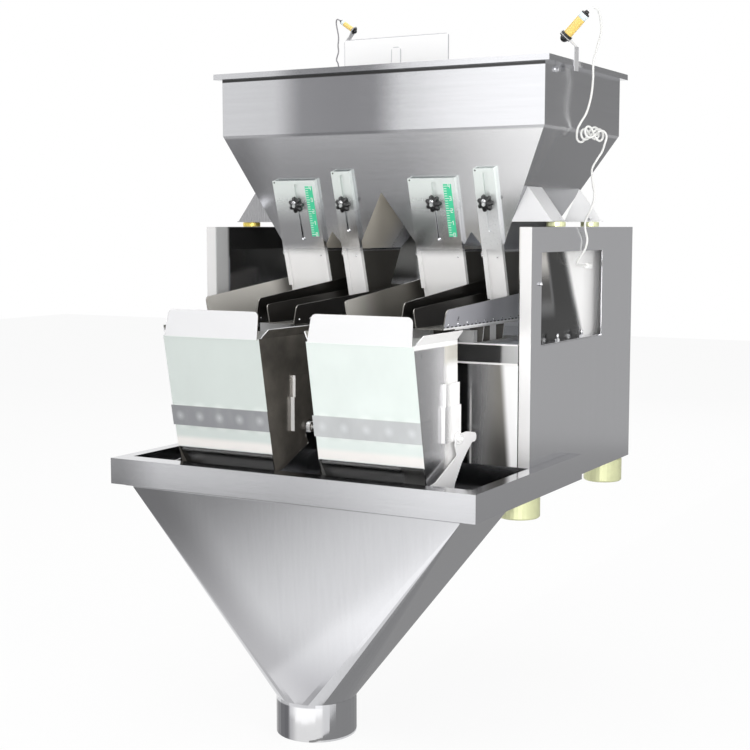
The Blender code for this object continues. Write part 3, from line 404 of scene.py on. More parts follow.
def liner_patches(finish, x, y, z):
    """The closed back of the window, all painted light and shade: a painted dark stripe between a
    dark, shaded front area and a painted bright reflection at the rear, with a tan upper front and
    painted shade low down.
    """
    drop = 0.486 - z
    painted_highlight = (y - drop * 0.55).above(-0.055, 0.040)
    beyond = (y - drop * 0.34).above(-0.142, 0.022)
    dark = beyond * (1 - painted_highlight)
    low = z.below(0.385, 0.05) * (1 - painted_highlight)
    tan = (1 - beyond) * z.above(0.450, 0.05)
    edge = (1 - beyond) * (1 - low)
    return [
        (painted_highlight, (0.985, 0.975, 0.96), 0.08),
        (edge, (0.06, 0.058, 0.055), 0.7),
        (tan, (0.62, 0.60, 0.57), 0.35),
        (dark, (0.022, 0.022, 0.021), 0.95),
        (low, 0.03, 0.9),
    ]


def deck_patches(finish, x, y, z):
    """Painted light and shade on the deck: its front lip is painted dark, lighter at its right end,
    with painted highlights along the folds at its top and bottom, and the flat deck at the right is
    painted light.
    """
    _, ahead, up = finish.facing()
    lip = ahead.above(0.7, 0.1) * y.below(-0.20, 0.01)
    bottom, top = DECK_LIP
    folds = lip * (z.above(top, 0.0015) + z.below(bottom, 0.0015)).math("MINIMUM", 1.0)
    flat = up.above(0.7, 0.1) * z.above(0.300, 0.005) * x.above(0.20, 0.02)
    return [
        (flat, (0.86, 0.90, 0.95), 0.3),
        (lip, 0.10, 0.8),
        (lip * x.above(0.300, 0.010), 0.42, 0.3),
        (folds, (0.95, 0.94, 0.93), 0.15),
    ]


def gate_patches(finish, x, y, z):
    """Painted reflections on the gates: the covers have a pale, partly diffuse top, the last cover
    a lighter middle, and the plates and strips below the fold are painted white and fully diffuse.
    """
    top = z.above(0.575, 0.08)
    low = z.below(0.490, 0.030)
    last = x.above(0.19, 0.004) * (1 - top) * (1 - low)
    return [
        (top, (0.80, 0.85, 0.825), 0.35),
        (last, (0.82, 0.83, 0.84), 0.45),
        (low, (0.99, 0.975, 0.96), 0.0),
    ]


def flap_patches(finish, x, y, z):
    """The flap's right cheek leaf is painted white and nearly diffuse: a painted highlight."""
    return [(x.above(0.20, 0.01), (0.96, 0.95, 0.95), 0.10)]


def panel_patches(finish, x, y, z):
    """Painted shade on the front panel: black at the left, darker behind the buckets and darkest
    low down, with a painted reflection streak and a painted bright reflection beside the right
    cheek.
    """
    painted_shading = x.above(0.268, 0.065)
    deep = painted_shading * z.below(0.17, 0.12)
    streak = x.between(0.236, 0.240, 0.004) * z.between(0.08, 0.235, 0.09)
    painted_highlight = (x + (z - 0.27) * 0.08).above(0.302, 0.014)
    return [
        (x.below(0.233, 0.008), 0.05, 1.0),
        (painted_shading, (0.23, 0.22, 0.20), 0.15),
        (deep * 0.9, (0.05, 0.048, 0.045), 0.30),
        (streak * 0.8, (0.85, 0.83, 0.80), 0.10),
        (painted_highlight, (0.985, 0.98, 0.975), 0.05),
    ]


def rear_patches(finish, x, y, z):
    """Painted shade on the inside of the rear panel, darkest between the ducts, and painted light
    low down.
    """
    inside = y.below(0.2692, 0.0004)
    between_ducts = inside * z.above(0.41, 0.03) * x.between(-0.225, -0.150, 0.02)
    low = inside * z.between(0.300, 0.380, 0.02) * x.above(-0.10, 0.1)
    return [
        (inside * z.above(0.41, 0.07), (0.14, 0.14, 0.135), 1.0),
        (between_ducts, (0.018, 0.018, 0.017), 1.0),
        (low, (0.90, 0.92, 0.95), 0.1),
    ]


def pan_patches(finish, x, y, z):
    """Painted light and shade on the pans: painted shade on the outer walls between them, painted
    warm light on the inner walls, shaded towards the rear on the right head, a last pan painted
    lighter with a painted highlight on its rail, dark slots, and painted highlights along the
    edges.
    """
    sideways, ahead, up = finish.facing()
    wall = sideways.above(0.6, 0.2)
    painted_shade_walls = (x.between(-0.175, -0.030, 0.004) + x.between(0.140, 0.208, 0.004)) * wall
    last_pan_wall = x.above(0.218, 0.004) * wall
    warm = wall * (1 - painted_shade_walls) * (1 - last_pan_wall)
    painted_glint = (sideways * (ahead + up)).above(0.36, 0.10)
    rail = z.below(PAN_RAIL[0], 0.0008) * last_pan_wall
    slots = (y / 0.0165).math("FRACT").below(0.5, 0.06) * z.between(*PAN_RAIL, 0.0008) * last_pan_wall
    shade = x.above(0, 0.02) * y.above(-0.34, 0.16)
    return [
        (EVERYWHERE, (0.30, 0.29, 0.27), 0.6),
        (warm, (0.60, 0.58, 0.54), 0.40),
        (warm * shade, (0.14, 0.132, 0.115), 0.60),
        (painted_shade_walls, (0.045, 0.042, 0.038), 0.8),
        (last_pan_wall, (0.44, 0.44, 0.475), 0.35),
        (last_pan_wall * y.above(-0.16, 0.16), (0.66, 0.67, 0.70), 0.25),
        (rail, 0.92, 0.2),
        (slots, 0.02, 0.3),
        (painted_glint, 0.90, 0.3),
    ]


def plate_patches(finish, x, y, z):
    """The rear plate is satin white with a ground edge, and so is the strap on it."""
    strap = y.below(0.1921, 0.0002)
    strap_edge = strap * (1 - x.between(-0.1804, -0.1596, 0.0008) * z.below(0.9324, 0.0008))
    edge = (1 - strap) * (1 - x.between(-0.3024, -0.0426, 0.0008) * z.below(0.9554, 0.0008))
    return [
        (EVERYWHERE, 0.97, 0.15),
        (edge + strap_edge, (0.50, 0.50, 0.52), 0.7),
    ]


def satin(tint, share):
    """One patch over the whole sheet."""
    return lambda finish, x, y, z: [(EVERYWHERE, tint, share)]


def plain_finish(name, tint, rough, metallic=0.0, speckle=900, coat=0.0):
    """A moulded, plated or cast surface with a fine even texture."""
    finish = Finish(name)
    grain = finish.noise(speckle, detail=3.0)
    wear = finish.noise(45, detail=4.0)
    base = finish.blend(wear, tinted(tint, 0.86), tinted(tint, 1.14))
    finish.set(base_color=base, metallic=metallic, roughness=(grain - 0.5) * 0.18 + rough)
    finish.set(normal=finish.bump(grain, 0.25, 0.00015), coat_weight=coat)
    return finish


# The middles of the two heads, and the bucket front's levels: its lower fold, its welded band with
# the weld spots' pitch, and its splash flap.
HEADS = (-0.155, 0.155)
BUCKET_FOLD = 0.127
BUCKET_BAND = (0.169, 0.207)
WELD_PITCH = 0.0445
SPLASH_FLAP = 0.338


def bucket_finish(pale):
    """Pale satin bucket front with a grey welded band; the rest is ground sheet with painted
    highlights and painted shade.
    """
    finish = Finish("bucket_satin")
    x, y, z = finish.axes()
    sideways, ahead, _ = finish.facing()
    grain = finish.noise(1400, (0.05, 1, 1), detail=2.0)
    cloud = finish.noise(9, detail=4.0, roughness=0.6)
    smear = finish.noise(26, (1, 1, 0.35), detail=3.0, shift=(4, 0, 0))
    on_right = x.above(0, 0.1)
    # The front: its face above the lower fold, the band with its weld spots, and the splash flap.
    front = ahead.above(0.80, 0.10) * y.below(-0.455, 0.004)
    face = front * z.above(BUCKET_FOLD, 0.004)
    band = front * z.between(*BUCKET_BAND, 0.0008)
    warm = front * z.between(BUCKET_FOLD, BUCKET_FOLD + 0.019, 0.012)
    splash = front * z.above(SPLASH_FLAP, 0.002)
    beside = (x.math("ABSOLUTE") - HEADS[1]) / WELD_PITCH + 0.5
    beside = (beside.math("FRACT") - 0.5) * WELD_PITCH
    level = z - sum(BUCKET_BAND) / 2 + (cloud - 0.5) * 0.008
    spot = (beside * beside + level * level).math("SQRT")
    weld = spot.below(0.0065, 0.013) * band
    core = spot.below(0.0016, 0.001) * band
    halo = spot.between(0.009, 0.024, 0.012) * face * (1 - band)
    # Painted shade: the left bucket's face is painted darker than the right one's, and its splash
    # flap a little darker too.
    satin_tone = finish.layered(
        finish.blend(cloud * 0.6 + smear * 0.4, tinted(pale, 0.90), tinted(pale, 1.08)),
        (x.below(0, 0.1) * 0.5, tinted(pale, 0.72)),
        (warm * 0.85, (0.86, 0.82, 0.79)),
        (halo * smear * 0.55, (0.96, 0.98, 0.97)),
        (splash, finish.blend(on_right, (0.66, 0.66, 0.67), (0.70, 0.70, 0.705))),
    )
    # Painted light: the right bucket's band is painted lighter than the left one's, varied by the
    # smear noise.
    painted_shading = on_right * 0.55 + smear * 0.5 - 0.2
    band_tone = finish.blend(painted_shading, (0.31, 0.315, 0.33), (0.68, 0.70, 0.70))
    band_tone = finish.blend(weld * 0.34 + core * 0.08, band_tone, (0.82, 0.84, 0.85))
    # The sheet round it: painted highlights on the right wall, the flared rim and the edges, and
    # painted shade on the inner left walls, the right wall's front and the strip below the front's
    # fold.
    outer = x.above(0.20, 0.01)
    side = sideways.above(0.80, 0.10) * outer
    painted_highlight = side * y.above(-0.420, 0.03) * z.between(0.05, 0.300, 0.02)
    tan = side * y.above(-0.425, 0.012) * z.above(0.298, 0.02)
    flare = outer * z.above(0.331, 0.003) * (1 - front)
    corner = (sideways * ahead).above(0.25, 0.10)
    edges = ahead.above(0.6, 0.2) * y.above(-0.450, 0.002) * 0.8 + corner
    bright = (painted_highlight + flare + edges).math("MINIMUM", 1.0)
    dim = sideways.above(0.7, 0.1) * x.below(0.05, 0.01)
    steel_tone = finish.layered(
        finish.blend(grain, (0.60, 0.60, 0.59), (0.78, 0.78, 0.77)),
        (front * z.below(BUCKET_FOLD, 0.004), (0.035, 0.035, 0.034)),
        (dim, finish.blend(cloud, (0.02, 0.02, 0.02), (0.34, 0.31, 0.27))),
        (side * y.below(-0.415, 0.03), (0.44, 0.44, 0.45)),
        (tan, (0.62, 0.60, 0.54)),
        (bright, (0.98, 0.97, 0.965)),
    )
    tone = finish.layered(steel_tone, (face, satin_tone), (band, band_tone))
    metal = 1 - face * 0.68 + band * 0.30 - splash * 0.20
    metal = metal * (1 - dim * 0.55) * (1 - tan * 0.6) * (1 - bright * 0.92)
    rough = 0.20 + face * 0.24 + (grain - 0.5) * 0.10 + (cloud - 0.5) * 0.10
    finish.set(base_color=tone, metallic=metal, roughness=rough)
    finish.set(normal=finish.bump(grain * 0.5 + weld * 1.5 - core, 0.12, 0.0006))
    return finish


def dress(finish, *names):
    for name in names:
        for slot in NODES[name].material_slots:
            slot.material = finish.material


SHARP_ANGLE = math.radians(40)


def soften(names, width):
    """Rounds the sheet edges of CAD nodes so that they catch the light."""
    for name in names:
        modifier = NODES[name].modifiers.new("edge_radius", "BEVEL")
        modifier.width = width
        modifier.segments = 2
        modifier.limit_method = "ANGLE"
        modifier.angle_limit = SHARP_ANGLE
        modifier.harden_normals = True


# ---- Pieces in mesh code ----


def at(x, y, z):
    """A point given from the cabinet's front plane and top."""
    return CABINET + Vector((x, y, z))


def pose(point, out=(0, 0, 1), turn=0.0):
    """A frame at a point whose Z axis looks along out, turned about that axis."""
    rotation = Vector(out).normalized().to_track_quat("Z", "Y").to_matrix().to_4x4()
    return Matrix.Translation(point) @ rotation @ Matrix.Rotation(turn, 4, "Z")


def rectangle(wide, high):
    """An outline about the middle, from half its width and height."""
    return [(-wide, -high), (wide, -high), (wide, high), (-wide, high)]


def circle(count, reach=lambda k, angle: 1.0):
    """An outline about the middle, each point at the reach that its number and angle give."""
    angles = [2 * math.pi * k / count for k in range(count)]
    return [(reach(k, a) * math.cos(a), reach(k, a) * math.sin(a)) for k, a in enumerate(angles)]


def placed(name, data):
    """A new object in the scene."""
    made = bpy.data.objects.new(name, data)
    bpy.context.scene.collection.objects.link(made)
    return made


# Strokes of the numerals, from the lower left corner, in widths and heights.
NUMERALS = {
    0: [[(0, 0), (1, 0), (1, 1), (0, 1), (0, 0)]],
    1: [[(0.2, 0.8), (0.6, 1), (0.6, 0)]],
    2: [[(0, 1), (1, 1), (1, 0.5), (0, 0.5), (0, 0), (1, 0)]],
    3: [[(0, 1), (1, 1), (1, 0), (0, 0)], [(0.3, 0.5), (1, 0.5)]],
    4: [[(0, 1), (0, 0.45), (1, 0.45)], [(0.8, 1), (0.8, 0)]],
}
# Profiles of a socket cap screw with its recess and of a low domed screw, in radii.
CAP_SCREW = ((1, 0), (1, 0.96), (0.86, 1.1), (0.62, 1.1), (0.52, 0.6))
PAN_SCREW = ((1, 0), (1, 0.15), (0.86, 0.42), (0.5, 0.6), (0.1, 0.64))


class Stock:
    """Gathers the surfaces of one piece, each in the frame and with the finish in use."""

    def __init__(self, place=Matrix.Identity(4), finish=None):
        self.mesh = bmesh.new()
        self.finishes = []
        self.use(place, finish)

    def use(self, place, finish):
        self.place = place
        self.finish = finish

    def rings(self, loops, closed=(True, True), smooth=True):
        """Skins a row of rings of points, with a cap on each end that is asked for."""
        if self.finish not in self.finishes:
            self.finishes.append(self.finish)
        add = self.mesh.verts.new
        rows = [[add(self.place @ Vector(point)) for point in loop] for loop in loops]
        faces = []
        for low, high in zip(rows, rows[1:]):
            for k in range(len(low)):
                after = (k + 1) % len(low)
                faces.append(self.mesh.faces.new((low[k], low[after], high[after], high[k])))
                faces[-1].smooth = smooth
        for wanted, corners in zip(closed, (rows[0][::-1], rows[-1])):
            if wanted:
                faces.append(self.mesh.faces.new(corners))
        for face in faces:
            face.material_index = self.finishes.index(self.finish)

    def turned(self, profile, sides=24, wide=1.0, tall=1.0):
        """A profile of (radius, height) pairs turned about the frame's Z axis."""
        scaled = [(radius * wide, height * tall) for radius, height in profile]
        self.rings([[(x * r, y * r, z) for x, y in circle(sides)] for r, z in scaled])

    def plate(self, outline, low, high, chamfer=0.0):
        """An outline in the frame's XY plane, drawn out from low to high, with a chamfered top."""
        outline = [Vector(point) for point in outline]
        levels = [(outline, low), (outline, high - chamfer)]
        if chamfer:
            centre = sum(outline, Vector((0, 0))) / len(outline)
            share = 1 - chamfer / max((point - centre).length for point in outline)
            levels.append(([centre + (point - centre) * share for point in outline], high))
        self.rings([[(*point, z) for point in loop] for loop, z in levels], smooth=False)

    def hexagon(self, across, low, high):
        outline = circle(6, lambda k, angle: across / math.sqrt(3))
        self.plate(outline, low, high, chamfer=across * 0.06)

    def hex_bolt(self, across, washer=True):
        """A hexagon head, on a washer or without, with the crowned top of its head."""
        start = across * 0.14 if washer else 0.0
        if washer:
            radius, edge = across * 0.95, start * 0.25
            self.turned([(radius, 0), (radius, start - edge), (radius - edge, start)])
        top = start + across * 0.62
        self.hexagon(across, start, top)
        self.turned([(across * 0.40, top - 0.0001), (across * 0.40, top + across * 0.03)])

    def cap_screw(self, radius):
        self.turned(CAP_SCREW, wide=radius, tall=radius)

    def pan_screw(self, radius):
        self.turned(PAN_SCREW, sides=18, wide=radius, tall=radius)

    def stroke(self, points, width, lift):
        """A thin raised line through points in the frame's XY plane."""
        for start, end in zip(points, points[1:]):
            start, end = Vector(start), Vector(end)
            along = (end - start).normalized() * width / 2
            side = Vector((-along.y, along.x))
            start, end = start - along, end + along
            self.plate([start - side, end - side, end + side, start + side], lift - 0.0002, lift)

    def numeral(self, digit, corner, high, width, lift):
        """A plain numeral of straight strokes, half as wide as it is high."""
        for stroke in NUMERALS[digit]:
            points = [(corner[0] + x * high / 2, corner[1] + y * high) for x, y in stroke]
            self.stroke(points, width, lift)

    def made(self, name):
        """The gathered surfaces as one object."""
        mesh = bpy.data.meshes.new(name)
        bmesh.ops.recalc_face_normals(self.mesh, faces=self.mesh.faces)
        self.mesh.to_mesh(mesh)
        self.mesh.free()
        for finish in self.finishes:
            mesh.materials.append(finish.material)
        return placed(name, mesh)

    def piece(self, name, body="machine"):
        """The gathered surfaces as one piece that rides on a body."""
        made = self.made(name)
        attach(made, body)
        return made


# ---- Camera and cables ----


CAMERA_AT = (1.3507, -2.609, 0.5378)
CAMERA_TILT = 90 - 6.0137
CAMERA_TURN = 29.3503
CAMERA_LENS = 67.66


class WEIGHER_OT_camera(Operator):
    """Sets the camera in front and to the right of the weigher"""

    bl_idname = "weigher.camera"
    bl_label = "Camera"

    def execute(self, context):
        data = bpy.data.cameras.new("weigher_camera")
        data.lens = CAMERA_LENS
        data.sensor_width = 36
        data.clip_start, data.clip_end = 0.05, 60
        camera = placed("weigher_camera", data)
        camera.location = CAMERA_AT
        camera.rotation_euler = (math.radians(CAMERA_TILT), 0, math.radians(CAMERA_TURN))
        context.scene.camera = camera
        return {"FINISHED"}


# Routes from the cabinet's front plane and top: the right cable runs from its sensor, through the
# tied hank and down to its clip.
CABLE_FROM_SENSOR = (
    (0.3909, 0.1730, 0.3981), (0.3952, 0.1745, 0.4012), (0.4003, 0.1790, 0.4030),
    (0.4040, 0.1870, 0.3998), (0.4046, 0.1970, 0.3880), (0.4042, 0.2050, 0.3740),
    (0.4020, 0.2100, 0.3596), (0.3920, 0.2170, 0.3342), (0.3820, 0.2260, 0.3098),
    (0.3780, 0.2355, 0.2774), (0.3780, 0.2260, 0.2448), (0.3740, 0.2150, 0.2155),
    (0.3655, 0.2070, 0.1960), (0.3605, 0.2030, 0.1830),
)
HANK_CENTRE = Vector((0.3800, 0.2290, 0.1755))
HANK_ALONG = Vector((0.31, 0.951, 0.0)).normalized()
HANK_ACROSS = Vector((0.951, -0.31, 0.0)).normalized()
HANK_REACH = 0.0300
HANK_WIDTH = 0.0250
HANK_TILT = math.radians(14)
CABLE_TO_CLIP = (
    (0.3980, 0.2500, 0.1570), (0.3920, 0.2510, 0.1420), (0.3830, 0.2460, 0.1260),
    (0.3760, 0.2420, 0.1080), (0.3720, 0.2604, 0.0804), (0.3700, 0.2749, 0.0616),
    (0.3680, 0.2675, 0.0402), (0.3660, 0.2400, 0.0131), (0.3640, 0.2423, -0.0021),
    (0.3620, 0.2600, -0.0230), (0.3610, 0.2555, -0.0400), (0.3580, 0.2462, -0.0520),
    (0.3538, 0.2395, -0.0610), (0.3494, 0.2400, -0.0685), (0.3462, 0.2500, -0.0728),
    (0.3446, 0.2640, -0.0742), (0.3436, 0.2850, -0.0752), (0.3435, 0.3081, -0.0762),
)
CABLE_REAR = (
    (-0.3175, 0.4665, 0.4648), (-0.3212, 0.4667, 0.4672), (-0.3285, 0.4700, 0.4680),
    (-0.3320, 0.4740, 0.4590), (-0.3270, 0.4750, 0.4302), (-0.3284, 0.4750, 0.4102),
    (-0.3272, 0.4750, 0.3967), (-0.3325, 0.4750, 0.3790), (-0.3273, 0.4750, 0.3653),
    (-0.3240, 0.4750, 0.3100), (-0.3150, 0.4800, 0.2000), (-0.3070, 0.5000, 0.0900),
    (-0.3020, 0.5380, 0.0260), (-0.3000, 0.5690, -0.0120), (-0.3000, 0.5800, -0.0400),
    (-0.3000, 0.5700, -0.0585), (-0.3000, 0.5544, -0.0600),
)
TURN_POINTS = 30
CURVE_STEPS = 16


def hank_loops(turns):
    """A loose bow: figure-eight loops beside each other, each tilted a little further."""
    end = 2 * math.pi * (turns + 0.5)
    count = round(TURN_POINTS * (turns + 0.5))
    points = []
    for k in range(count + 1):
        share = k / count
        angle = end * share
        swing = HANK_REACH / (1 + math.sin(angle) ** 2)
        along = -swing * math.cos(angle)
        up = -swing * math.sin(angle) * math.cos(angle)
        tilt = HANK_TILT * (1 - 2 * share)
        swell = 1 + 0.03 * math.sin(angle * 0.7 + 0.5)
        level = (along * math.sin(tilt) + up * math.cos(tilt)) * swell
        reach = (along * math.cos(tilt) - up * math.sin(tilt)) * swell
        beside = HANK_WIDTH * (share - 0.5)
        point = HANK_CENTRE + HANK_ALONG * reach + HANK_ACROSS * beside
        points.append(tuple(point + Vector((0, 0, level))))
    return points


def through(points, spacing):
    """Evenly spaced points on a smooth curve through the given ones, and its length."""
    points = [Vector(point) for point in points]
    padded = [2 * points[0] - points[1], *points, 2 * points[-1] - points[-2]]
    fine = []
    for before, start, end, after in zip(padded, padded[1:], padded[2:], padded[3:]):
        for step in range(CURVE_STEPS):
            t = step / CURVE_STEPS
            linear = (end - before) * t
            square = (2 * before - 5 * start + 4 * end - after) * t**2
            cubic = (3 * start - before - 3 * end + after) * t**3
            fine.append(0.5 * (2 * start + linear + square + cubic))
    fine.append(points[-1])
    total = sum((b - a).length for a, b in zip(fine, fine[1:]))
    count = max(2, round(total / spacing))
    result, travelled, target = [fine[0]], 0.0, total / count
    for start, end in zip(fine, fine[1:]):
        step = (end - start).length
        while travelled + step >= target and len(result) < count:
            result.append(start.lerp(end, (target - travelled) / step))
            target += total / count
        travelled += step
    return [*result, fine[-1]], total


def cable(name, route, diameter, finish, slot, nodes):
    """A cable along a route in place of its nodes, and its length."""
    points, total = through(route, diameter * 0.7)
    curve = bpy.data.curves.new(name, "CURVE")
    curve.dimensions = "3D"
    curve.bevel_depth = diameter * 0.49
    curve.bevel_resolution = 4
    curve.use_fill_caps = True
    spline = curve.splines.new("POLY")
    spline.points.add(len(points) - 1)
    for target, point in zip(spline.points, points):
        target.co = (*(CABINET + point), 1.0)
    curve.materials.append(finish.material)
    made = placed(name, curve)
    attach(made, "machine")
    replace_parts(made, *nodes)
    return made, total


class WEIGHER_OT_cables(Operator):
    """Lays the two sensor cables and ties the spare length of the right one"""

    bl_idname = "weigher.cables"
    bl_label = "Cables"

    def execute(self, context):
        wide, thin = sizes().cable_right, sizes().cable_left
        white = plain_finish("sheath_white", settings().cable, 0.38, speckle=500, coat=0.1)
        grey = plain_finish("sheath_grey", settings().cable_rear, 0.42, speckle=500)
        route = [*CABLE_FROM_SENSOR, *hank_loops(sizes().hank_turns), *CABLE_TO_CLIP]
        nodes = ("cable_right_upper", "cable_right_hank", "cable_right_lower")
        right, long = cable("cable_right", route, wide, white, "cable_sheath", nodes)
        tie = self.tie(white)
        nodes = ("cable_left",)
        left, long = cable("cable_rear", CABLE_REAR, thin, grey, "cable_sheath_grey", nodes)
        return {"FINISHED"}

    def tie(self, finish):
        """A flat tie round the loops."""
        wide, high = HANK_WIDTH / 2 + 0.0030, 0.0052
        centre = CABINET + HANK_CENTRE
        ring = [centre + HANK_ACROSS * wide * x + Vector((0, 0, high * y)) for x, y in circle(20)]
        loops = [[point + HANK_ALONG * offset for point in ring] for offset in (-0.0016, 0.0016)]
        inner = [[centre + (point - centre) * 0.86 for point in loop] for loop in reversed(loops)]
        stock = Stock(finish=finish)
        stock.rings([*loops, *inner, loops[0]], closed=(False, False))
        return stock.piece("cable_tie")


# ---- Gates ----


GATE_LEAN = math.atan(0.29)
GATE_FOOT = 0.1106
COVER_LIFT = 0.010
# Each lane's head and width.
LANES = {
    1: (HEADS[0], "wide"),
    2: (HEADS[0], "narrow"),
    3: (HEADS[1], "wide"),
    4: (HEADS[1], "narrow"),
}
# A cover's left edge, right edge, top and slot, from the middle of its head, for each width.
COVERS = {"wide": (-0.090, 0.010, 0.092, -0.035), "narrow": (0.051, 0.093, 0.108, 0.0745)}
LUG_OUTLINE = (
    (0.0036, -0.0062), (0.0036, 0.0062), (-0.0012, 0.0062),
    (-0.0034, 0.0040), (-0.0034, -0.0040), (-0.0012, -0.0062),
)
LUG_LIFT = 0.0060
KNOB_LEVEL, KNOB_LIFT = 0.047, 0.0285
SCALE_HALF = (0.0085, 0.052)
SCALE_MARKS, SCALE_PITCH, SCALE_LIFT = 21, 0.0048, 0.0005


def wall_frame(x, level, lift=COVER_LIFT):
    """A frame on a gate's cover: X to the right, Y up the cover and Z out of it."""
    along = (level + lift * math.sin(GATE_LEAN)) / math.cos(GATE_LEAN)
    plane = Matrix.Translation(at(x, GATE_FOOT, 0)) @ Matrix.Rotation(GATE_LEAN, 4, "X")
    return plane @ Matrix.Translation((0, -lift, along)) @ Matrix.Rotation(math.pi / 2, 4, "X")


class WEIGHER_OT_gates(Operator):
    """Adds the studs of the gate knobs, the green scales and the covers' screws"""

    bl_idname = "weigher.gates"
    bl_label = "Gates"

    def execute(self, context):
        steel = sheet_finish("stud_steel", settings().bright, grain=(1, 1, 1), rough=0.24)
        dark = plain_finish("rivet_dark", 0.03, 0.5)
        for number, (head, width) in LANES.items():
            left, right, top, slot = COVERS[width]
            stud = Stock(wall_frame(head + slot, KNOB_LEVEL, KNOB_LIFT), steel)
            stud.turned([(0.0046, -0.002), (0.0046, 0.0006), (0.0040, 0.0012)])
            stud.turned([(0.0030, 0.001), (0.0030, 0.0022), (0.0024, 0.0026)])
            stud.piece(f"knob_stud_{number}", f"gate_knob_body_{number}")
            screws = Stock(wall_frame(head + left + 0.0042, top - 0.003), dark)
            screws.pan_screw(0.0016)
            screws.use(wall_frame(head + right - 0.0115, -0.0575), steel)
            screws.pan_screw(0.0017)
            screws.use(wall_frame(head + left - 0.0018, -0.0525, LUG_LIFT), steel)
            screws.plate(LUG_OUTLINE, -0.0050, 0, chamfer=0.0006)
            screws.cap_screw(0.0024)
            screws.piece(f"cover_screws_{number}")
            if width == "wide":
                self.scale(number, head)
        return {"FINISHED"}

    def scale(self, number, head):
        """Green strip with fine white marks and a numeral at every fifth one."""
        green = plain_finish("scale_green", settings().scale, 0.45)
        ink = plain_finish("scale_ink", (0.88, 0.95, 0.90), 0.5)
        place = wall_frame(head - 0.0065, 0.031)
        half = SCALE_HALF[0]
        strip = Stock(place, green)
        strip.plate(rectangle(*SCALE_HALF), 0.00005, 0.0004, chamfer=0.0001)
        strip.use(place, ink)
        for k in range(SCALE_MARKS):
            level = -0.048 + k * SCALE_PITCH
            long = 0.0048 if k % 5 else 0.0075
            mark = [(0.0012 - half, level), (0.0012 - half + long, level)]
            strip.stroke(mark, 0.0011, SCALE_LIFT)
            if k % 5 == 0:
                strip.numeral(k // 5, (half - 0.0066, level - 0.0036), 0.0072, 0.0012, SCALE_LIFT)
        strip.piece(f"gate_scale_{number}")


# ---- Level sensors ----


# Each sensor's middle, radius, length of its tail and lean in degrees.
SENSORS = {
    "right": ((0.3470, 0.173, 0.3542), 0.0090, 0.061, 45.0),
    "left": ((-0.2815, 0.4665, 0.4402), 0.0056, 0.043, -55.7493),
}
STRAP_HALF = 0.0009
THREAD_PITCH = 0.0010
# Profiles of a sensor's rear, in radii and in lengths of its tail.
SENSOR_CAP = ((0.97, 0.68), (0.97, 0.865), (0.90, 0.87))
SENSOR_END = ((0.96, 0.862), (0.96, 0.885), (0.80, 0.91), (0.60, 0.912))
SENSOR_ENTRY = ((0.58, 0.90), (0.50, 0.94), (0.38, 0.995))


class WEIGHER_OT_sensors(Operator):
    """Builds the two level sensors: nose, lock nuts, threaded barrel, clear cap and cable entry"""

    bl_idname = "weigher.sensors"
    bl_label = "Level sensors"

    def execute(self, context):
        tints = settings()
        amber = plain_finish("sensor_amber", tints.amber, 0.24, coat=0.4)
        black = plain_finish("sensor_black", tints.black, 0.32)
        clear = plain_finish("sensor_cap", (0.74, 0.84, 0.86), 0.15, coat=0.5)
        for side, (centre, radius, tail, lean) in SENSORS.items():
            place = Matrix.Translation(at(*centre)) @ Matrix.Rotation(math.radians(lean), 4, "Y")
            stock = Stock(place, black)
            self.front(stock, radius)
            stock.use(place, amber)
            stock.turned(self.thread(radius, STRAP_HALF + 0.45 * radius, tail * 0.70), sides=32)
            stock.use(place, clear)
            stock.turned(SENSOR_CAP, 32, radius, tail)
            stock.use(place, black)
            stock.turned(SENSOR_END, 32, radius, tail)
            stock.turned(SENSOR_ENTRY, 24, radius, tail)
            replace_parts(stock.piece(f"level_sensor_{side}"), f"sensor_{side}")
        return {"FINISHED"}

    def front(self, stock, radius):
        """The domed nose and a knurled lock nut on each side of the strap."""
        nose = radius * 0.9
        dome = []
        for k in range(9):
            angle = math.radians(-84 + 84 * k / 8)
            height = nose * math.sin(angle) - STRAP_HALF - 0.4 * nose
            dome.append((nose * math.cos(angle), height))
        stock.turned([*dome, (nose, -STRAP_HALF)])
        nut = circle(48, lambda k, angle: radius * 1.3 * (1.0 if k % 4 < 2 else 0.965))
        stock.plate(nut, -STRAP_HALF - 0.35 * nose, -STRAP_HALF, chamfer=0.0004)
        stock.plate(nut, STRAP_HALF, STRAP_HALF + 0.45 * radius, chamfer=0.0004)
        stock.turned([(radius * 0.78, -STRAP_HALF), (radius * 0.78, STRAP_HALF)])

    def thread(self, radius, low, high):
        """A fine screw thread as a row of ridges."""
        root, crest = radius * 0.955, radius * 0.995
        profile = []
        for k in range(int((high - low) / THREAD_PITCH)):
            profile.append((root, low + k * THREAD_PITCH))
            profile.append((crest, low + (k + 0.5) * THREAD_PITCH))
        return [*profile, (root, high)]


# ---- Fasteners ----


OUTWARD = {"left": (-1, 0, 0), "right": (1, 0, 0)}
# A bucket pivot's depth and level, and how far its ends stand from the middle of its head.
PIVOT = (-0.118, -0.372)
PIVOT_END = 0.1168
FOOT_PLATE_TOP = 0.012
POSTS = {"front": (0.3465, 0.1565), "rear": (0.344, 0.320)}
# A pan's middle, from the middle of its head, and half its width, for each width of lane.
PANS = {"wide": (-0.0445, 0.0540), "narrow": (0.0675, 0.0275)}
PAN_SCREWS, PAN_SCREW_PITCH = 9, 0.038
PAN_FOOT = (-0.120, -0.1715)
REAR_PLATE_SCREWS = (-0.285, -0.170, -0.060)
WINDOW_BOLTS = (0.151, 0.2765)
MARK_LIFT = 0.0002


def star(radius, lobes, depth):
    """Outline of a lobed nut, with its hollows as deep as depth."""
    return circle(lobes * 6, lambda k, a: radius - depth * (0.5 - 0.5 * math.cos(lobes * a)))


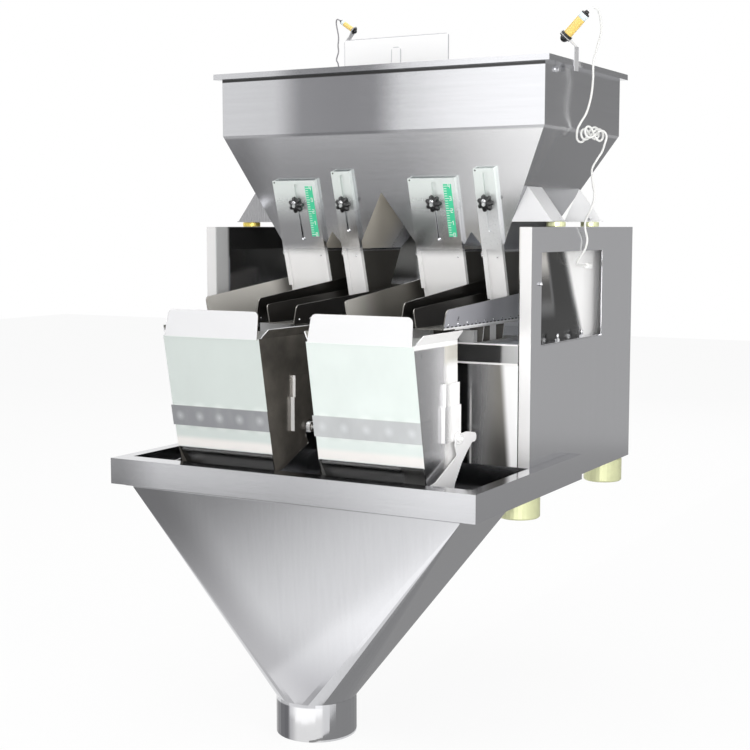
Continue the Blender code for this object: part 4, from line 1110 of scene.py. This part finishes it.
class WEIGHER_OT_fasteners(Operator):
    """Adds the star nuts, bolts, nuts and screws of the buckets, brackets, window, pans and rim"""

    bl_idname = "weigher.fasteners"
    bl_label = "Fasteners"

    def execute(self, context):
        bright = settings().bright
        steel = sheet_finish("bolt_steel", bright, grain=(1, 1, 1), rough=0.22)
        # The star nuts are painted pale and nearly diffuse: a painted highlight that keeps them
        # bright in the shade between the buckets.
        self.pivots(sheet_finish("star_steel", bright, patches=satin((0.95, 0.95, 0.94), 0.3)))
        self.posts(steel)
        self.window(steel)
        self.pans(steel)
        self.rim(steel)
        self.marks(plain_finish("numeral_dark", 0.04, 0.5))
        return {"FINISHED"}

    def pivots(self, steel):
        """A star nut at both ends of each bucket's pivot."""
        for label, head in zip("ab", HEADS):
            for side, out in OUTWARD.items():
                stock = Stock(pose(at(head + out[0] * PIVOT_END, *PIVOT), out), steel)
                stock.plate(star(0.0112, 6, 0.0026), 0.0002, 0.0042, chamfer=0.0008)
                stock.hexagon(0.0092, 0.0042, 0.0066)
                stock.turned([(0.0030, 0.0060), (0.0030, 0.0084), (0.0022, 0.0090)])
                stock.piece(f"pivot_nut_{label}_{side}")

    def posts(self, steel):
        """Nuts that hold the brackets' foot plates on their posts."""
        for end, (x, y) in POSTS.items():
            for side, out in OUTWARD.items():
                stock = Stock(pose(at(out[0] * x, y, FOOT_PLATE_TOP)), steel)
                stock.hex_bolt(0.008, washer=False)
                stock.piece(f"post_nut_{end}_{side}")

    def window(self, steel):
        """Sill of the right window with its two bolts, and the screw on the window's front edge."""
        stock = Stock(pose(at(0.3442, 0.204, -0.2168)), steel)
        stock.plate(rectangle(0.0098, 0.1565), 0, 0.0014)
        for y in WINDOW_BOLTS:
            stock.use(pose(at(0.3465, y, -0.2154)), steel)
            stock.hexagon(0.0080, 0, 0.0050)
            stock.turned([(0.0030, 0.004), (0.0030, 0.0135), (0.0022, 0.0142)])
        stock.piece("window_sill")
        screw = Stock(pose(at(0.3567, 0.0394, -0.103), OUTWARD["right"]), steel)
        screw.cap_screw(0.0036)
        screw.piece("window_screw")

    def pans(self, steel):
        """Screw rows along the feet of the pans."""
        for number, (head, width) in LANES.items():
            middle, half = PANS[width]
            start, level = PAN_FOOT
            for side, out in OUTWARD.items():
                x = head + middle + out[0] * (half + 0.0010)
                stock = Stock()
                for k in range(PAN_SCREWS):
                    stock.use(pose(at(x, start + PAN_SCREW_PITCH * k, level), out), steel)
                    stock.pan_screw(0.0024)
                stock.piece(f"pan_screws_{number}_{side}", f"pan_body_{number}")

    def rim(self, steel):
        """Bolts under the hopper's rim on both sides and along the foot of the rear plate."""
        for side, out in OUTWARD.items():
            stock = Stock(pose(at(out[0] * 0.3543, 0.109, 0.287), out), steel)
            stock.hex_bolt(0.0085)
            stock.piece(f"rim_bolt_{side}")
        stock = Stock()
        for x in REAR_PLATE_SCREWS:
            stock.use(pose(at(x, 0.4643, 0.293), (0, 1, 0)), steel)
            stock.pan_screw(0.0038)
        stock.piece("rear_plate_screws")

    def marks(self, ink):
        """Plain numerals pressed into a pan and a bucket."""
        lean = math.atan(0.18)
        out = (math.cos(lean), 0, -math.sin(lean))
        stock = Stock(pose(at(0.2541, -0.086, -0.159), out, math.pi), ink)
        stock.numeral(2, (-0.002, 0), 0.0062, 0.0009, MARK_LIFT)
        stock.piece("pan_numeral", "pan_body_4")
        stock = Stock(pose(at(0.261, -0.2405, -0.2125), OUTWARD["right"], math.pi), ink)
        stock.numeral(1, (-0.002, 0), 0.0070, 0.0010, MARK_LIFT)
        stock.piece("bucket_numeral")


# ---- Stage ----


# Area lamps: name, place, target, size and power.
LAMPS = (
    ("key", (-2.2, -3.2, 3.4), (0, -0.1, 0.4), 2.6, 60),
    ("front", (2.0, -3.9, 0.6), (0.2, -0.2, 0.3), 1.4, 66),
    ("side", (3.2, -1.6, 1.0), (0.3, -0.1, 0.2), 1.4, 30),
    ("top", (0.2, 0.4, 3.6), (0, 0, 0.3), 3.0, 40),
    ("rear", (-1.2, 3.6, 2.2), (0, 0, 0.4), 2.4, 30),
)
UP = (0, 0, 1)
# Cards for reflections: name, place, which way it faces, width and height, and its tones from the
# left to the right edge as the weigher sees them.
FLAGS = (
    ("flag_softbox", (-0.8925, -3.605, 0.9), (0.264, 0.965, 0), (1.477, 2.6), (1.62, 1.62)),
    ("flag_grey", (-1.835, -3.276, 0.9), (0.499, 0.866, 0), (0.500, 2.6), (0.26, 0.75)),
    ("flag_near_floor", (-0.65, -1.5, -0.395), UP, (0.9, 1.8), (1.08, 0.33)),
    ("flag_left_floor", (-1.9, -1.5, -0.395), UP, (1.6, 1.8), (0.33, 0.33)),
    ("flag_right_floor", (0.2, -1.45, -0.395), UP, (0.8, 1.7), (1.45, 1.45)),
    ("flag_far_floor", (-1.0, -2.9, -0.395), UP, (0.8, 1.0), (1.40, 0.72)),
    ("flag_rear_high", (1.5, 3.0, 1.18), (-1.14, -3.0, 0), (3.2, 0.8), (0.29, 0.31)),
    ("flag_rear_low", (1.5, 3.0, 0.19), (-1.14, -3.0, 0), (3.2, 1.16), (0.46, 0.58)),
    ("flag_rear_floor", (1.2, 1.85, -0.395), UP, (2.4, 4.7), (0.40, 0.34)),
)
FLOOR_HALF, FLOOR_THICK, FLOOR_GAP = 9.0, 0.02, 0.001
CARD_THICK = 0.01
WORLD_LIGHT = 0.50
FLOOR_GLOW = 0.90


class WEIGHER_OT_stage(Operator):
    """Sets the floor, the soft lights and the flags that give the steel its dark side"""

    bl_idname = "weigher.stage"
    bl_label = "Stage"

    def execute(self, context):
        context.scene.view_settings.view_transform = "Standard"
        self.world(context.scene)
        self.floor(CAD_BOX[0][2] - FLOOR_GAP)
        for facts in LAMPS:
            self.lamp(*facts)
        for facts in FLAGS:
            self.flag(*facts)
        return {"FINISHED"}

    def world(self, scene):
        """White where it is seen, and dimmer as a light."""
        scene.world = bpy.data.worlds.new("studio")
        scene.world.use_nodes = True
        graph = Graph(scene.world.node_tree)
        dim, white = (
            graph.node("ShaderNodeBackground", inputs={"Color": WHITE, "Strength": strength})
            for strength in (WORLD_LIGHT, 1.0)
        )
        mix = graph.mixed(graph.seen(), dim, white)
        graph.node("ShaderNodeOutputWorld", inputs={"Surface": mix.outputs[0]})

    def floor(self, level):
        """A white floor that keeps the weigher's shadow."""
        finish = Finish("floor_white")
        mottle = finish.noise(3, detail=2.0)
        base = finish.blend(mottle, (0.88, 0.88, 0.88), (0.92, 0.92, 0.92))
        finish.set(base_color=base, roughness=0.7)
        glow = finish.node("ShaderNodeEmission", inputs={"Color": WHITE, "Strength": 1.0})
        finish.show(finish.mixed(finish.seen() * FLOOR_GLOW, finish.shader, glow))
        stock = Stock(finish=finish)
        stock.plate(rectangle(FLOOR_HALF, FLOOR_HALF), level - FLOOR_THICK, level)
        stock.made("floor")

    def lamp(self, name, place, target, size, power):
        data = bpy.data.lights.new(name, "AREA")
        data.size = size
        data.energy = power
        lamp = placed(name, data)
        lamp.location = place
        lamp.rotation_mode = "QUATERNION"
        lamp.rotation_quaternion = (Vector(target) - Vector(place)).to_track_quat("-Z", "Y")
        lamp.visible_camera = False

    def flag(self, name, place, out, size, tones):
        """A card that only reflections see; its tone runs from its left to its right edge."""
        finish = Finish(name)
        wide, high = size
        tone = finish.axes()[0].step(0, wide, *tones).socket
        finish.show(finish.node("ShaderNodeEmission", inputs={"Color": tone, "Strength": 1.0}))
        stock = Stock(finish=finish)
        stock.plate(rectangle(wide / 2, high / 2), -CARD_THICK, 0.0)
        card = stock.made(name)
        card.matrix_world = pose(place, out)
        card.visible_camera = card.visible_shadow = card.visible_diffuse = False


# ---- Sheets and castings ----


# Each sheet's own finish, its tint, its patches and the parts that have it.
SHEETS = (
    ("hopper", "sheet", hopper_patches, ["hopper"]),
    ("funnel", "sheet", funnel_patches, ["funnel"]),
    ("tray", "sheet", tray_patches, ["discharge_tray"]),
    ("cheek", "sheet", cheek_patches, ["cheek_shell_left", "cheek_shell_right"]),
    ("liner_left", "sheet", liner_left_patches, ["cheek_liner_left"]),
    ("liner", "sheet", liner_patches, ["cheek_liner_right"]),
    ("gate", "bright", gate_patches,
     [f"{part}_{number}" for part in ("gate_guide", "gate") for number in LANES]),
    ("flap", "bright", flap_patches, ["bucket_flap_a", "bucket_flap_b"]),
    ("panel", "sheet", panel_patches, ["front_panel"]),
    ("deck", "sheet", deck_patches, ["deck"]),
    ("rear", "sheet", rear_patches, ["rear_and_floor"]),
    ("pan", "sheet", pan_patches, [f"pan_{number}" for number in LANES]),
    ("plate", "bright", plate_patches, ["rear_plate"]),
    # The gussets' tints are painted light and shade: the rear right one painted white and diffuse,
    # the front right one painted mid grey, and the left ones painted in shade.
    ("front_gusset", "bright", satin((0.70, 0.70, 0.71), 0.30), ["hopper_bracket_front_right"]),
    ("rear_gusset", "bright", satin(0.98, 0.05), ["hopper_bracket_rear_right"]),
    ("left_gusset", "bright", satin((0.34, 0.34, 0.35), 0.55),
     ["hopper_bracket_front_left", "hopper_bracket_rear_left"]),
    ("strap", "sheet", satin((0.52, 0.52, 0.53), 0.25),
     ["sensor_bracket_left", "sensor_bracket_right"]),
)
# The sheets that aren't ground like the rest.
GRINDS = {
    "hopper": {"grain": (0.03, 0.03, 1), "rough": 0.20, "streak": 0.22},
    "funnel": {"streak": 0.16},
    "tray": {"grain": (0.03, 1, 1)},
}
ROUND_PARTS = ("cable", "sensor_l", "sensor_r")


class WEIGHER_OT_sheets(Operator):
    """Gives every sheet and casting its finish and rounds the folded edges"""

    bl_idname = "weigher.sheets"
    bl_label = "Sheet finishes"

    def execute(self, context):
        tints = settings()
        casting = plain_finish("drive_casting", 0.60, 0.45, metallic=0.5)
        amber = plain_finish("amber_barrel", tints.amber, 0.2)
        finishes = {
            "stainless_brushed": sheet_finish("sheet_brushed", tints.sheet),
            "stainless_bright": sheet_finish("sheet_bright", tints.bright),
            "zinc_yellow": plain_finish("zinc_yellow", tints.zinc, 0.30, metallic=0.45),
            "drive_casting": casting,
            "load_cell_alloy": casting,
            "moulded_black": plain_finish("moulded_black", tints.black, 0.30),
            "sensor_body": amber,
            "cable_sheath": amber,
            "cable_sheath_grey": amber,
        }
        for node in NODES.values():
            for slot in node.material_slots:
                slot.material = finishes[slot.material.name.split(".")[0]].material
        dress(bucket_finish(tints.bucket), "bucket_a", "bucket_b")
        for name, tint, patches, parts in SHEETS:
            grind = GRINDS.get(name, {})
            finish = sheet_finish(f"{name}_sheet", getattr(tints, tint), patches=patches, **grind)
            dress(finish, *parts)
        golden = plain_finish("zinc_golden", (0.84, 0.66, 0.14), 0.30, metallic=0.45)
        dress(golden, "hopper_post_front_left", "hopper_post_rear_left")
        soften([name for name in NODES if not name.startswith(ROUND_PARTS)], sizes().edge)
        return {"FINISHED"}


class WEIGHER_PT_panel(Panel):
    """Buttons for each group of pieces"""

    bl_idname = "WEIGHER_PT_panel"
    bl_label = "Linear Weigher"
    bl_space_type = "VIEW_3D"
    bl_region_type = "UI"
    bl_category = "Weigher"

    def draw(self, context):
        for step in STEPS:
            self.layout.operator(step.bl_idname)


STEPS = (
    WEIGHER_OT_camera,
    WEIGHER_OT_cables,
    WEIGHER_OT_stage,
    WEIGHER_OT_sheets,
    WEIGHER_OT_gates,
    WEIGHER_OT_sensors,
    WEIGHER_OT_fasteners,
)
CLASSES = (WeigherFinishes, WeigherSizes, *STEPS, WEIGHER_PT_panel)


def register():
    for kind in CLASSES:
        bpy.utils.register_class(kind)
    bpy.types.Scene.weigher_finishes = PointerProperty(type=WeigherFinishes)
    bpy.types.Scene.weigher_sizes = PointerProperty(type=WeigherSizes)


def unregister():
    del bpy.types.Scene.weigher_sizes
    del bpy.types.Scene.weigher_finishes
    for kind in reversed(CLASSES):
        bpy.utils.unregister_class(kind)


def main():
    register()
    for step in STEPS:
        group, name = step.bl_idname.split(".")
        getattr(getattr(bpy.ops, group), name)()


if __name__ == "__main__":
    main()
